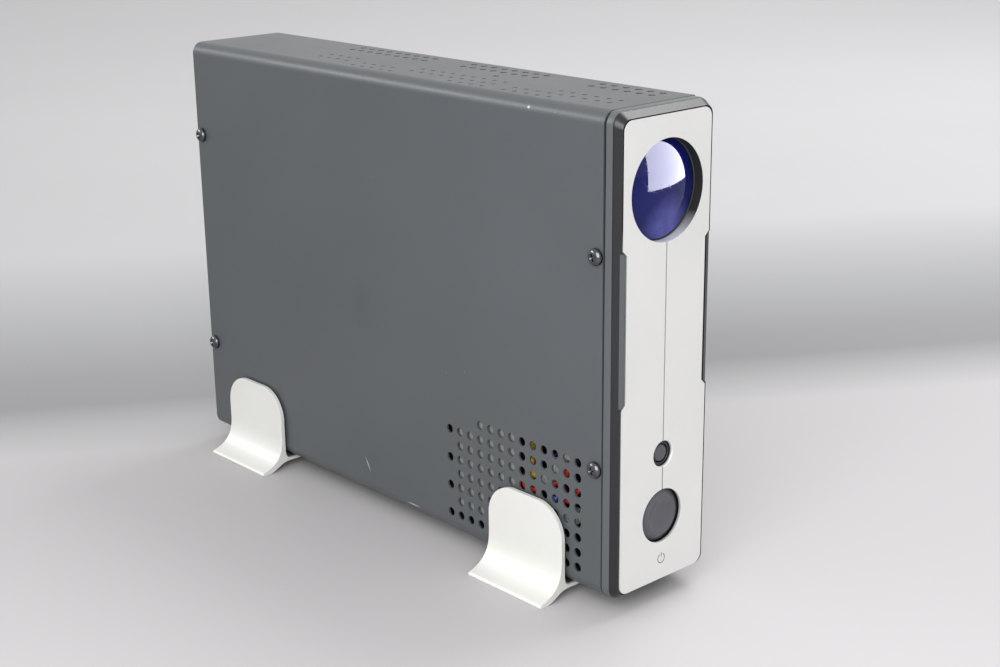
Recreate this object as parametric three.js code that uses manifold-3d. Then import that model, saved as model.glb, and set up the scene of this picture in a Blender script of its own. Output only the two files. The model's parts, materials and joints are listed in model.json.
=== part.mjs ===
// A slim desktop computer that stands upright in two aluminium cradles.
//
// Millimetres, +Z up. The case is modelled in its own frame: X across, Y from the front edge of the
// cover towards the rear, Z up from the case's underside. One group then moves the whole computer so
// that its origin is on the floor, under the middle of its footprint.
import * as THREE from 'three';
import { mergeVertices } from 'three/addons/utils/BufferGeometryUtils.js';
import Module from 'manifold-3d';

const wasm = await Module();
wasm.setup();

// ---------------------------------------------------------------- driving dimensions
const GAP = 0.3; // clearance between pieces that touch
const CASE_W = 54;
const CASE_H = 200;
const CASE_L = 281.2; // cover length, front edge to rear edge
const CORNER = 5.5; // outer bend radius of the cover and corner radius of the bezel
const SHEET = 1; // sheet metal thickness
const FLOOR_GAP = 7; // height of the case's underside above the floor

const BEZEL_D = 8.8; // front plate's face ahead of the cover's front edge
const SEAM_Y = -0.6; // middle of the dark line between the bezel and the cover
const BEZEL_GAP = 0.35; // half of that line's width
const BEZEL_REAR = SEAM_Y - BEZEL_GAP;
const STRIP_D = 4.8; // depth of the bezel's straight side strip
const PLATE_W = 49.4;
const PLATE_GAP = 0.5; // between the plate and the edge of its pocket in the bezel
const PLATE_Z0 = 2.8;
const PLATE_Z1 = 196.8;
const PLATE_T = 1.2;
const PLATE_CORNER = 4.2;
const LENS_Z = 167;
const LENS_HOLE_R = 20.45;
const RESET_Z = 58.1;
const RESET_HOLE_R = 5.4;
const POWER_Z = 31;
const POWER_HOLE_R = 11.6;
const NOTCH_Z0 = 82.3;
const NOTCH_Z1 = 147;
const NOTCH_D = 2.2;
const GROOVE_W = 0.6;

const VENT_PITCH = 6.6;
const VENT_R = 2;
const TOP_VENT_R = 1.55;
const SMALL_VENT_R = 1.05; // the runs along the left half of the top
const SCREW_CLEARANCE_R = 1.9;
const TAPPED_R = 1.7; // threaded hole for an M3 or number 6 screw

const STAND_L = 45; // length of each cradle along Y
const STAND_FRONT_Y = 41.5;
const STAND_REAR_Y = 240;
const STAND_TAB_Z = 33.9;

const HALF_W = CASE_W / 2;
const FACE_Y = -BEZEL_D;
const WALL_Y = FACE_Y + PLATE_T + GAP; // front of the bezel's wall, behind the plate
const WALL_T = 2.2;

// ---------------------------------------------------------------- materials
function finish(color, roughness, metalness) {
  return new THREE.MeshStandardMaterial({ color, roughness, metalness });
}

const powderCoat = finish('#5b5e62', 0.6, 0.3);
const zincSteel = finish('#a9abac', 0.4, 0.9);
const blackPlastic = finish('#33363a', 0.55, 0);
const satinAluminium = finish('#dcdcdc', 0.35, 0.9);
const blueLens = finish('#2c3585', 0.05, 0);
const greyPlastic = finish('#55555a', 0.45, 0);
const rubber = finish('#2a2a2a', 0.9, 0);
const brightSteel = finish('#c8c8c8', 0.25, 1);
const springSteel = finish('#9c9ea2', 0.3, 1);
const greenBoard = finish('#1f5a34', 0.5, 0);
const anodised = finish('#8f9296', 0.4, 0.8);
const whitePlastic = finish('#eceae2', 0.5, 0);
const brass = finish('#b6924a', 0.35, 1);
const redWire = finish('#b3261c', 0.5, 0);
const yellowWire = finish('#d6a91c', 0.5, 0);
const blueWire = finish('#3b3f9c', 0.5, 0);

// ---------------------------------------------------------------- solids
function fromArrays(positions, triangles) {
  return new wasm.Manifold(new wasm.Mesh({
    numProp: 3,
    vertProperties: Float32Array.from(positions),
    triVerts: Uint32Array.from(triangles),
  }));
}

// a profile drawn the other way round gives faces that point in, so those are turned over
function toSolid(geometry) {
  const source = geometry.clone();
  source.deleteAttribute('normal');
  source.deleteAttribute('uv');
  const merged = mergeVertices(source, 1e-4);
  const positions = merged.attributes.position.array;
  const solid = fromArrays(positions, merged.index.array);
  if (solid.volume() > 0) return solid;
  return fromArrays(positions, merged.index.array.toReversed());
}

function toGeometry(solid) {
  const mesh = solid.getMesh();
  const geometry = new THREE.BufferGeometry();
  geometry.setAttribute('position', new THREE.BufferAttribute(mesh.vertProperties, 3));
  geometry.setIndex(new THREE.BufferAttribute(mesh.triVerts, 1));
  return geometry;
}

function join(...solids) {
  return solids.reduce((sum, solid) => sum.add(solid));
}

function cut(body, ...tools) {
  return tools.length ? body.subtract(join(...tools)) : body;
}

// a block between two opposite corners
function block(x0, y0, z0, x1, y1, z1) {
  const geometry = new THREE.BoxGeometry(x1 - x0, y1 - y0, z1 - z0);
  geometry.translate((x0 + x1) / 2, (y0 + y1) / 2, (z0 + z1) / 2);
  return toSolid(geometry);
}

// a round bar along an axis ('x', 'y' or 'z'), from one coordinate to the other
function bar(axis, radius, from, to, [x, y, z], segments = 24) {
  const geometry = new THREE.CylinderGeometry(radius, radius, to - from, segments);
  if (axis === 'x') geometry.rotateZ(-Math.PI / 2);
  if (axis === 'z') geometry.rotateX(Math.PI / 2);
  const middle = (from + to) / 2;
  const centre = { x: [middle, y, z], y: [x, middle, z], z: [x, y, middle] }[axis];
  geometry.translate(...centre);
  return toSolid(geometry);
}

// a turned shape about an axis along Y: each point is [radius, y]
function turned(profile, [x, z], segments = 48) {
  const geometry = new THREE.LatheGeometry(profile.map(([r, y]) => new THREE.Vector2(r, y)), segments);
  geometry.translate(x, 0, z);
  return toSolid(geometry);
}

// a flat XZ outline given depth along Y
function slabXZ(shape, y0, y1, curveSegments = 6) {
  const geometry = new THREE.ExtrudeGeometry(shape, { depth: y1 - y0, bevelEnabled: false, curveSegments });
  geometry.rotateX(Math.PI / 2);
  geometry.translate(0, y1, 0);
  return toSolid(geometry);
}

// a flat YZ outline given depth along X
function slabYZ(shape, x0, x1, curveSegments = 6) {
  const geometry = new THREE.ExtrudeGeometry(shape, { depth: x1 - x0, bevelEnabled: false, curveSegments });
  geometry.rotateX(Math.PI / 2);
  geometry.rotateZ(Math.PI / 2);
  geometry.translate(x0, 0, 0);
  return toSolid(geometry);
}

function outline(points) {
  return new THREE.Shape(points.map(([a, b]) => new THREE.Vector2(a, b)));
}

// a rectangle with rounded corners between two opposite corners
function roundedRect(u0, v0, u1, v1, radius) {
  const shape = new THREE.Shape();
  shape.moveTo(u0 + radius, v0);
  shape.lineTo(u1 - radius, v0);
  shape.absarc(u1 - radius, v0 + radius, radius, -Math.PI / 2, 0);
  shape.lineTo(u1, v1 - radius);
  shape.absarc(u1 - radius, v1 - radius, radius, 0, Math.PI / 2);
  shape.lineTo(u0 + radius, v1);
  shape.absarc(u0 + radius, v1 - radius, radius, Math.PI / 2, Math.PI);
  shape.lineTo(u0, v0 + radius);
  shape.absarc(u0 + radius, v0 + radius, radius, Math.PI, Math.PI * 1.5);
  return shape;
}

// a round wire or rod that follows a smooth curve through its points
function wire(points, radius, steps, sides = 5) {
  const path = new THREE.CatmullRomCurve3(points.map((p) => new THREE.Vector3(...p)), false, 'centripetal');
  return sweep(path, radius, steps, sides);
}

function sweep(path, radius, steps, sides) {
  const section = new THREE.Shape();
  for (let i = 0; i < sides; i += 1) {
    const a = (i / sides) * 2 * Math.PI;
    if (i === 0) section.moveTo(radius, 0);
    else section.lineTo(radius * Math.cos(a), radius * Math.sin(a));
  }
  section.closePath();
  return toSolid(new THREE.ExtrudeGeometry(section, { steps, bevelEnabled: false, extrudePath: path }));
}

const tower = new THREE.Group();
tower.position.set(0, -(CASE_L - BEZEL_D) / 2, FLOOR_GAP);

function add(name, solid, material, position = [0, 0, 0], turnZ = 0) {
  const mesh = new THREE.Mesh(toGeometry(solid), material);
  mesh.name = name;
  mesh.position.set(...position);
  mesh.rotation.z = turnZ;
  tower.add(mesh);
}

// ---------------------------------------------------------------- sheet-metal case
const COVER_Y0 = SEAM_Y + BEZEL_GAP;
const COVER_RIGHT = HALF_W - 2.8; // the cover's flanges end short of the right panel's bend
const COVER_SCREWS = [
  ['cover_screw_front_upper', 3.1, 143.4],
  ['cover_screw_front_lower', 3.1, 55.4],
  ['cover_screw_rear_upper', 277.4, 154.6],
  ['cover_screw_rear_lower', 277.4, 46.4],
];

// the grid of holes low on the left face, near the front: [y, z] of each
function sideVentHoles() {
  const holes = [];
  for (let row = 0; row < 8; row += 1) {
    const z = 9.2 + VENT_PITCH * row;
    const last = row === 7 ? 10 : 12;
    for (let column = 0; column < last; column += 1) holes.push([13 + VENT_PITCH * column, z]);
    if (row % 2 === 0) holes.push([13 + VENT_PITCH * 12, z]);
  }
  return holes;
}

// holes along the top: each run is [x, first y, number of holes]
const TOP_VENT_RUNS = [
  [18.5, 11.4, 6], [11.9, 11.4, 6], [18.5, 77.4, 8], [11.9, 77.4, 8], [18.5, 150, 9], [11.9, 150, 9],
  [-5.3, 11.4, 6], [-11.9, 11.4, 6], [-11.9, 51, 3], [-18.5, 37.8, 5],
  [-5.3, 77.4, 4], [-11.9, 77.4, 4], [-18.5, 77.4, 4],
  [-5.3, 103.8, 5], [-11.9, 103.8, 5], [-11.9, 143.4, 4], [-18.5, 136.8, 5],
  [-5.3, 176.4, 4], [-11.9, 176.4, 4], [3.3, 92.5, 1],
];

function coverOutline() {
  const r = CORNER;
  const inner = r - SHEET;
  const shape = new THREE.Shape();
  shape.moveTo(COVER_RIGHT, 0);
  shape.lineTo(-HALF_W + r, 0);
  shape.absarc(-HALF_W + r, r, r, -Math.PI / 2, -Math.PI, true);
  shape.lineTo(-HALF_W, CASE_H - r);
  shape.absarc(-HALF_W + r, CASE_H - r, r, Math.PI, Math.PI / 2, true);
  shape.lineTo(COVER_RIGHT, CASE_H);
  shape.lineTo(COVER_RIGHT, CASE_H - SHEET);
  shape.absarc(-HALF_W + r, CASE_H - r, inner, Math.PI / 2, Math.PI, false);
  shape.absarc(-HALF_W + r, r, inner, Math.PI, Math.PI * 1.5, false);
  shape.lineTo(COVER_RIGHT, SHEET);
  return shape;
}

function buildCover() {
  const holes = sideVentHoles().map(([y, z]) => (
    bar('x', VENT_R, -HALF_W - 1, -HALF_W + 2, [0, y, z], 8)));
  for (const [x, y, count] of TOP_VENT_RUNS) {
    for (let i = 0; i < count; i += 1) {
      const r = x < 0 ? SMALL_VENT_R : TOP_VENT_R;
      holes.push(bar('z', r, CASE_H - 2, CASE_H + 1, [x, y + VENT_PITCH * i, 0], 6));
    }
  }
  for (const [, y, z] of COVER_SCREWS) {
    holes.push(bar('x', SCREW_CLEARANCE_R, -HALF_W - 1, -HALF_W + 2, [0, y, z], 10));
  }
  const sheet = slabXZ(coverOutline(), COVER_Y0, CASE_L, 5);
  return cut(sheet, ...holes);
}

// pan-head screw with a cross recess, head towards -X, seat at x = 0
function panScrew(headR, headH, shankR, length) {
  const dome = new THREE.LatheGeometry([
    new THREE.Vector2(0, -length),
    new THREE.Vector2(shankR, -length),
    new THREE.Vector2(shankR, 0),
    new THREE.Vector2(headR, 0),
    new THREE.Vector2(headR, headH * 0.35),
    new THREE.Vector2(headR * 0.86, headH * 0.75),
    new THREE.Vector2(headR * 0.5, headH),
    new THREE.Vector2(0, headH),
  ], 16);
  dome.rotateZ(Math.PI / 2);
  const slotDepth = headH * 0.6;
  const reach = headR * 0.55;
  const width = headR * 0.16;
  const recess = join(
    block(-headH - 1, -width, -reach, -headH + slotDepth, width, reach),
    block(-headH - 1, -reach, -width, -headH + slotDepth, reach, width),
  );
  return cut(toSolid(dome), recess);
}

const TRAY_Z0 = SHEET + GAP;
const TRAY_Z1 = CASE_H - SHEET - GAP;
const TRAY_BEND = 2.5;
const TRAY_LIP = 6.2; // how far the lips reach in under the cover
const TRAY_INSIDE = HALF_W - SHEET;
const REAR_WALL_Y = CASE_L - SHEET;
const FRONT_WALL_Y = 0.6;
const IO_Z0 = 31;
const IO_Z1 = IO_Z0 + 158.75;
const IO_X1 = 20.5;
const IO_X0 = IO_X1 - 44.45;
const INLET = [2, 15];
const TAB_W = 12;

function trayOutline() {
  const r = TRAY_BEND;
  const right = HALF_W;
  const lipX = right - TRAY_LIP;
  const shape = new THREE.Shape();
  shape.moveTo(lipX, TRAY_Z0);
  shape.lineTo(right - r, TRAY_Z0);
  shape.absarc(right - r, TRAY_Z0 + r, r, -Math.PI / 2, 0);
  shape.lineTo(right, TRAY_Z1 - r);
  shape.absarc(right - r, TRAY_Z1 - r, r, 0, Math.PI / 2);
  shape.lineTo(lipX, TRAY_Z1);
  shape.lineTo(lipX, TRAY_Z1 - SHEET);
  shape.absarc(right - r, TRAY_Z1 - r, r - SHEET, Math.PI / 2, 0, true);
  shape.absarc(right - r, TRAY_Z0 + r, r - SHEET, 0, -Math.PI / 2, true);
  shape.lineTo(lipX, TRAY_Z0 + SHEET);
  return shape;
}

// an inward tab behind one cover screw, with its threaded hole
function screwTab(y, z, wallY) {
  const x0 = -HALF_W + SHEET + GAP;
  const back = wallY < 10 ? y + 4 : y - 4;
  return cut(
    block(x0, Math.min(wallY, back), z - TAB_W / 2, x0 + SHEET, Math.max(wallY, back), z + TAB_W / 2),
    bar('x', TAPPED_R, x0 - 1, x0 + 2, [0, y, z], 8),
  );
}

function buildTray() {
  const wall = roundedRect(
    -HALF_W + SHEET + GAP, TRAY_Z0 + 0.5, TRAY_INSIDE + 0.5, TRAY_Z1 - 0.5, CORNER - SHEET - GAP);
  const sides = slabXZ(trayOutline(), FRONT_WALL_Y, CASE_L, 4);
  const walls = join(
    slabXZ(wall, FRONT_WALL_Y, FRONT_WALL_Y + SHEET, 4),
    slabXZ(wall, REAR_WALL_Y, CASE_L, 4),
    ...COVER_SCREWS.map(([, y, z]) => screwTab(y, z, y < 10 ? FRONT_WALL_Y : CASE_L)),
  );
  const y0 = FRONT_WALL_Y - 1;
  const y1 = FRONT_WALL_Y + 2;
  const openings = [
    bar('y', 17.5, y0, y1, [0, 0, LENS_Z], 24), // receiver behind the lens
    block(-17, y0, 16.5, 17, y1, 73), // buttons and their board
    block(IO_X0 + 1.2, REAR_WALL_Y - 1, IO_Z0 + 1.2, IO_X1 - 1.2, CASE_L + 1, IO_Z1 - 1.2),
    bar('y', 4.4, REAR_WALL_Y - 1, CASE_L + 1, [INLET[0], 0, INLET[1]], 16),
    ...BEZEL_SCREWS.map(([, z]) => bar('y', 1.9, y0, y1, [0, 0, z], 8)),
    ...STANDOFFS.map(([y, z]) => bar('x', TAPPED_R, TRAY_INSIDE - 1, HALF_W + 1, [0, y, z], 8)),
    ...BRACKET_SCREWS.map(([, y, z]) => bar('x', TAPPED_R, TRAY_INSIDE - 1, HALF_W + 1, [0, y, z], 8)),
    ...DC_POSTS.map(([, y, z]) => bar('x', TAPPED_R, TRAY_INSIDE - 1, HALF_W + 1, [0, y, z], 8)),
  ];
  return cut(join(sides, walls), ...openings);
}

// ---------------------------------------------------------------- front
const BEZEL_SCREWS = [['bezel_screw_top', 192], ['bezel_screw_bottom', 9.5]];
const BOARD_Y = 10.6; // front face of the button board
const BOARD_T = 1.6;
const BOARD_SCREWS = [['front_board_screw_upper', 68.5], ['front_board_screw_lower', 45.5]];
const LENS_RECESS_R = 20.3;
const LENS_EDGE_Y = FACE_Y + 4.6;

// a frustum-like ring face: the rounded case outline drawn in towards the plate
function bezelLoft() {
  const steps = 6;
  const ring = (halfW, z0, z1, radius, y) => {
    const points = roundedRect(-halfW, z0, halfW, z1, radius).getPoints(steps);
    const apart = (p, i) => p.distanceTo(points[(i + 1) % points.length]) > 1e-6;
    return points.filter(apart).map((p) => [p.x, y, p.y]);
  };
  const front = -BEZEL_D + 0.25;
  const lip = PLATE_GAP + 0.3; // outer edge of the thin lip round the plate
  const rings = [
    ring(HALF_W, 0, CASE_H, CORNER, BEZEL_REAR),
    ring(HALF_W, 0, CASE_H, CORNER, -STRIP_D),
    ring(PLATE_W / 2 + lip, PLATE_Z0 - lip, PLATE_Z1 + lip, PLATE_CORNER + lip, front),
  ];
  const n = rings[0].length;
  const positions = rings.flat(2);
  const index = [];
  for (let k = 0; k < rings.length - 1; k += 1) {
    for (let i = 0; i < n; i += 1) {
      const j = (i + 1) % n;
      const here = k * n;
      const next = here + n;
      index.push(here + i, next + j, next + i, here + i, here + j, next + j);
    }
  }
  const flat = (points) => points.map(([x, , z]) => new THREE.Vector2(x, z));
  for (const [a, b, c] of THREE.ShapeUtils.triangulateShape(flat(rings[0]), [])) index.push(c, b, a);
  const last = (rings.length - 1) * n;
  for (const [a, b, c] of THREE.ShapeUtils.triangulateShape(flat(rings[2]), [])) {
    index.push(last + a, last + b, last + c);
  }
  const geometry = new THREE.BufferGeometry();
  geometry.setAttribute('position', new THREE.Float32BufferAttribute(positions, 3));
  geometry.setIndex(index);
  return toSolid(geometry);
}

// the plate's outline with its two side notches; grow widens it all round
function plateOutline(grow) {
  const w = PLATE_W / 2 + grow;
  const r = PLATE_CORNER + grow;
  const z0 = PLATE_Z0 - grow;
  const z1 = PLATE_Z1 + grow;
  const inner = w - NOTCH_D;
  const notchLow = NOTCH_Z0 + grow * 0.4;
  const notchHigh = NOTCH_Z1 - grow * 0.4;
  const shape = new THREE.Shape();
  shape.moveTo(-w + r, z0);
  shape.lineTo(w - r, z0);
  shape.absarc(w - r, z0 + r, r, -Math.PI / 2, 0);
  shape.lineTo(w, notchLow);
  shape.lineTo(inner, notchLow + NOTCH_D);
  shape.lineTo(inner, notchHigh - NOTCH_D);
  shape.lineTo(w, notchHigh);
  shape.lineTo(w, z1 - r);
  shape.absarc(w - r, z1 - r, r, 0, Math.PI / 2);
  shape.lineTo(-w + r, z1);
  shape.absarc(-w + r, z1 - r, r, Math.PI / 2, Math.PI);
  shape.lineTo(-w, notchHigh);
  shape.lineTo(-inner, notchHigh - NOTCH_D);
  shape.lineTo(-inner, notchLow + NOTCH_D);
  shape.lineTo(-w, notchLow);
  shape.lineTo(-w, z0 + r);
  shape.absarc(-w + r, z0 + r, r, Math.PI, Math.PI * 1.5);
  return shape;
}

function buildBezel() {
  const wallBack = WALL_Y + WALL_T;
  const shell = 2.2;
  const rear = BEZEL_REAR;
  const hollow = slabXZ(
    roundedRect(-HALF_W + shell, shell + 1.2, HALF_W - shell, CASE_H - shell - 1.2, 3.4), wallBack, 5);
  const pocket = slabXZ(plateOutline(PLATE_GAP), -20, WALL_Y);
  const bossTop = [
    turned([[0, WALL_Y + 1], [22.6, WALL_Y + 1], [22.6, rear], [0, rear]], [0, LENS_Z], 32), // lens cup
    turned([[0, WALL_Y + 1], [14.6, WALL_Y + 1], [14.6, rear], [0, rear]], [0, POWER_Z], 24), // button guide
    turned([[0, WALL_Y + 1], [6.8, WALL_Y + 1], [6.8, rear], [0, rear]], [0, RESET_Z], 20),
    ...BEZEL_SCREWS.map(([, z]) => bar('y', 3.4, WALL_Y + 1, rear, [0, 0, z], 16)),
  ];
  const bossInside = block(-HALF_W + 1, WALL_Y + 0.5, 0.6, HALF_W - 1, rear, CASE_H - 0.6);
  const posts = BOARD_SCREWS.map(([, z]) => bar('y', 3, WALL_Y + 1, BOARD_Y - GAP, [0, 0, z], 16));
  const body = join(cut(bezelLoft(), hollow), join(...bossTop).intersect(bossInside), ...posts);
  return cut(
    body,
    pocket,
    // recess and seat of the lens, open to the receiver behind it
    bar('y', LENS_RECESS_R, -20, -2.4, [0, 0, LENS_Z], 40),
    bar('y', 17, -3, 1, [0, 0, LENS_Z], 24),
    // power button: mouth, then the wider guide for its flange
    bar('y', POWER_HOLE_R - 0.05, -20, WALL_Y + 1.5, [0, 0, POWER_Z], 32),
    bar('y', 12.9, WALL_Y + 1.5, 1, [0, 0, POWER_Z], 24),
    bar('y', 4, -20, WALL_Y + 1.5, [0, 0, RESET_Z], 16),
    bar('y', 5.2, WALL_Y + 1.5, 1, [0, 0, RESET_Z], 16),
    ...BEZEL_SCREWS.map(([, z]) => bar('y', TAPPED_R, WALL_Y + 2.4, 1, [0, 0, z], 8)),
    ...BOARD_SCREWS.map(([, z]) => bar('y', 1.4, BOARD_Y - 5.5, BOARD_Y, [0, 0, z], 8)),
  );
}

function buildPlate() {
  const blank = slabXZ(plateOutline(0), FACE_Y, FACE_Y + PLATE_T);
  const grooveY = FACE_Y + 0.35;
  const half = GROOVE_W / 2;
  const chamfer = turned([
    [0, FACE_Y - 1], [RESET_HOLE_R + 1.4, FACE_Y - 1], [RESET_HOLE_R, FACE_Y + 0.4], [0, FACE_Y + 0.4],
  ], [0, RESET_Z], 24);
  return cut(
    blank,
    bar('y', LENS_HOLE_R, -20, 0, [0, 0, LENS_Z], 48),
    bar('y', RESET_HOLE_R, -20, 0, [0, 0, RESET_Z], 24),
    bar('y', POWER_HOLE_R, -20, 0, [0, 0, POWER_Z], 32),
    chamfer,
    block(-half, -20, RESET_Z + RESET_HOLE_R - 1, half, grooveY, LENS_Z - LENS_HOLE_R + 1),
    block(-half, -20, POWER_Z + POWER_HOLE_R - 1, half, grooveY, RESET_Z - RESET_HOLE_R + 1),
  );
}

// domed window: a spherical cap in front, flat behind
function buildLens() {
  const radius = LENS_RECESS_R - GAP;
  const back = -2.4 - GAP;
  const rise = 3.4;
  const sphere = (radius * radius + rise * rise) / (2 * rise);
  const profile = [[0, back], [radius, back], [radius, LENS_EDGE_Y]];
  for (let i = 1; i < 6; i += 1) {
    const r = radius * (1 - i / 6);
    profile.push([r, LENS_EDGE_Y - (Math.sqrt(sphere * sphere - r * r) - (sphere - rise))]);
  }
  profile.push([0, LENS_EDGE_Y - rise]);
  return turned(profile.reverse(), [0, LENS_Z], 40);
}

// power button: dished cap with a bevelled rim, a flange behind the bezel and a stem to the switch
const POWER_FACE_Y = FACE_Y + 0.2;
const FLANGE_Y = WALL_Y + 1.5 + GAP;
const STEM_END_Y = 3.6;

function buildPowerButton() {
  const r = POWER_HOLE_R - 0.45;
  return turned([
    [0, POWER_FACE_Y + 1.1], [4, POWER_FACE_Y + 0.95], [7, POWER_FACE_Y + 0.45], [8.4, POWER_FACE_Y],
    [9.4, POWER_FACE_Y], [r, POWER_FACE_Y + 1.3], [r, FLANGE_Y], [12.6, FLANGE_Y], [12.6, FLANGE_Y + 1],
    [2.6, FLANGE_Y + 1], [2.6, STEM_END_Y], [0, STEM_END_Y],
  ], [0, POWER_Z], 32);
}

function buildResetButton() {
  const front = FACE_Y + 1.3;
  return turned([
    [0, front], [3.1, front], [3.6, front + 0.4], [3.6, FLANGE_Y], [4.8, FLANGE_Y], [4.8, FLANGE_Y + 1],
    [1.6, FLANGE_Y + 1], [1.6, STEM_END_Y], [0, STEM_END_Y],
  ], [0, RESET_Z], 20);
}

// compression spring about the Y axis, from the button's flange to the switch
function buttonSpring(radius, wireR, turns) {
  const from = FLANGE_Y + 1 + GAP + wireR;
  const to = SWITCH_Y0 - GAP - wireR;
  class Helix extends THREE.Curve {
    getPoint(t, target = new THREE.Vector3()) {
      const a = t * turns * 2 * Math.PI;
      return target.set(radius * Math.cos(a), from + (to - from) * t, radius * Math.sin(a));
    }
  }
  return sweep(new Helix(), wireR, turns * 10, 5);
}

const SWITCH_Y0 = BOARD_Y - GAP - 3.6;
const PLUNGER_BORE = 1.9;

function pushSwitch(halfSize, z) {
  return cut(
    block(-halfSize, SWITCH_Y0, z - halfSize, halfSize, BOARD_Y - GAP, z + halfSize),
    bar('y', PLUNGER_BORE, SWITCH_Y0 - 1, BOARD_Y - GAP - 0.6, [0, 0, z], 16),
  );
}

function switchPlunger(z) {
  return bar('y', PLUNGER_BORE - GAP, STEM_END_Y + GAP, SWITCH_Y0 + 1.1, [0, 0, z], 12);
}

function buildFrontBoard() {
  const board = block(-13.5, BOARD_Y, 20, 13.5, BOARD_Y + BOARD_T, 72);
  return cut(board, ...BOARD_SCREWS.map(([, z]) => (
    bar('y', 1.6, BOARD_Y - 1, BOARD_Y + 3, [0, 0, z], 12))));
}

// disc with the infrared receiver and its hood, behind the lens
function buildReceiver() {
  const seat = FRONT_WALL_Y + SHEET + GAP;
  return join(
    bar('y', 20, seat, seat + 1.4, [0, 0, LENS_Z], 32),
    block(-3, -1.2, LENS_Z - 3.5, 3, seat + 0.2, LENS_Z + 3.5),
    bar('y', 2, -2.1, -1, [0, 0, LENS_Z], 16),
  );
}

// plain-headed machine screw pointing along +X, seat at x = 0
function machineScrew(headR, headH, shankR, length) {
  return join(
    bar('x', headR, -headH, 0, [0, 0, 0], 14),
    bar('x', shankR, -0.2, length, [0, 0, 0], 10),
  );
}

// ---------------------------------------------------------------- stands
function standOutline() {
  const tabX = -30.2;
  const tabIn = -28.2;
  const webTop = -1.2;
  const webBottom = -2.6;
  const floor = -FLOOR_GAP;
  const half = [
    [tabX, STAND_TAB_Z], [tabX, 9], [-30.6, 4.6], [-31.9, 1.2], [-34.4, -2], [-38, -4.3], [-41.6, -5.4],
    [-42.4, -5.8], [-42.6, -6.4], [-42.3, floor], [-38.6, floor], [-35, -6.2], [-31.8, -4.8],
    [-29.2, -3.4], [-26.5, webBottom], [0, webBottom],
  ];
  const inner = [[0, webTop], [-25.6, webTop], [-27.3, -0.6], [-28.1, 1.2], [tabIn, 3], [tabIn, STAND_TAB_Z]];
  const mirrored = (points) => points.map(([x, z]) => [-x, z]).reverse();
  return outline([...half, ...mirrored(half.slice(0, -1)), ...mirrored(inner), ...inner.slice(1)]);
}

// the cradle's side view: tabs with large rounded upper corners
function tabOutline(length, top, radius) {
  const h = length / 2;
  const shape = new THREE.Shape();
  shape.moveTo(-h, -FLOOR_GAP - 1);
  shape.lineTo(h, -FLOOR_GAP - 1);
  shape.lineTo(h, top - radius);
  shape.absarc(h - radius, top - radius, radius, 0, Math.PI / 2);
  shape.absarc(-h + radius, top - radius, radius, Math.PI / 2, Math.PI);
  return shape;
}

function buildStand() {
  const extrusion = slabXZ(standOutline(), -STAND_L / 2, STAND_L / 2);
  return extrusion.intersect(slabYZ(tabOutline(STAND_L, STAND_TAB_Z, 15), -50, 50, 8));
}

// thin rubber strip between the cradle and the case
function buildLiner() {
  const out = 27.9;
  const inn = HALF_W + GAP;
  const top = STAND_TAB_Z - 3;
  const strip = slabXZ(outline([
    [-out, top], [-out, 2.6], [-26.8, 0.1], [-25.2, -0.9], [25.2, -0.9], [26.8, 0.1], [out, 2.6],
    [out, top], [inn, top], [inn, 2.2], [26.2, 0.4], [24.6, -0.3],
    [-24.6, -0.3], [-26.2, 0.4], [-inn, 2.2], [-inn, top],
  ]), -STAND_L / 2 + 1, STAND_L / 2 - 1);
  return strip.intersect(slabYZ(tabOutline(STAND_L - 2, top, 14), -50, 50, 8));
}

// ---------------------------------------------------------------- inside
const MB_X = 17.8; // component side of the motherboard
const MB_T = 1.6;
const MB_Y0 = 106.8;
const MB_Y1 = MB_Y0 + 170;
const MB_Z0 = 25.5;
const MB_Z1 = MB_Z0 + 170;
const STANDOFFS = [
  [MB_Y0 + 6.35, MB_Z0 + 6.35], [MB_Y0 + 6.35, MB_Z1 - 6.35],
  [MB_Y1 - 33, MB_Z0 + 6.35], [MB_Y1 - 10.2, MB_Z1 - 6.35],
];
const CPU = [MB_Y0 + 66, MB_Z0 + 100];
const DC_POSTS = [['dc_board_post_front', 22, 18], ['dc_board_post_rear', 46, 60]];
const BRACKET_SCREWS = [
  ['bracket_screw_front', 57.5, 79], ['bracket_screw_rear', 148.5, 15],
];

function buildMotherboard() {
  const board = block(MB_X, MB_Y0, MB_Z0, MB_X + MB_T, MB_Y1, MB_Z1);
  return cut(board, ...STANDOFFS.map(([y, z]) => (
    bar('x', 1.9, MB_X - 1, MB_X + 3, [0, y, z], 12))));
}

// hexagonal standoff with a bore for the board screw and a threaded tail in the panel
function buildStandoff(length) {
  const body = bar('x', 2.9, 0, length, [0, 0, 0], 6);
  const tail = bar('x', 1.4, length - 0.2, length + GAP + SHEET - 0.2, [0, 0, 0], 12);
  return cut(join(body, tail), bar('x', 1.5, -1, 4, [0, 0, 0], 12));
}

const SINK = 42;
const SINK_H = 14;
const CPU_T = 2;
const SINK_X1 = MB_X - GAP - CPU_T - GAP;

function buildHeatsink() {
  const x1 = SINK_X1;
  const [y, z] = CPU;
  const h = SINK / 2;
  const blockBody = block(x1 - SINK_H, y - h, z - h, x1, y + h, z + h);
  const slots = [];
  const fins = 9;
  const pitch = (SINK - 1.4) / (fins - 1);
  for (let i = 0; i < fins - 1; i += 1) {
    const z0 = z - h + 1.4 + pitch * i;
    slots.push(block(x1 - SINK_H - 1, y - h - 1, z0, x1 - 3, y + h + 1, z0 + pitch - 1.4));
  }
  return cut(blockBody, ...slots);
}

const FAN_X1 = SINK_X1 - SINK_H - GAP;
const FAN_D = 10;
const FAN_R = 18.6;

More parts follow.
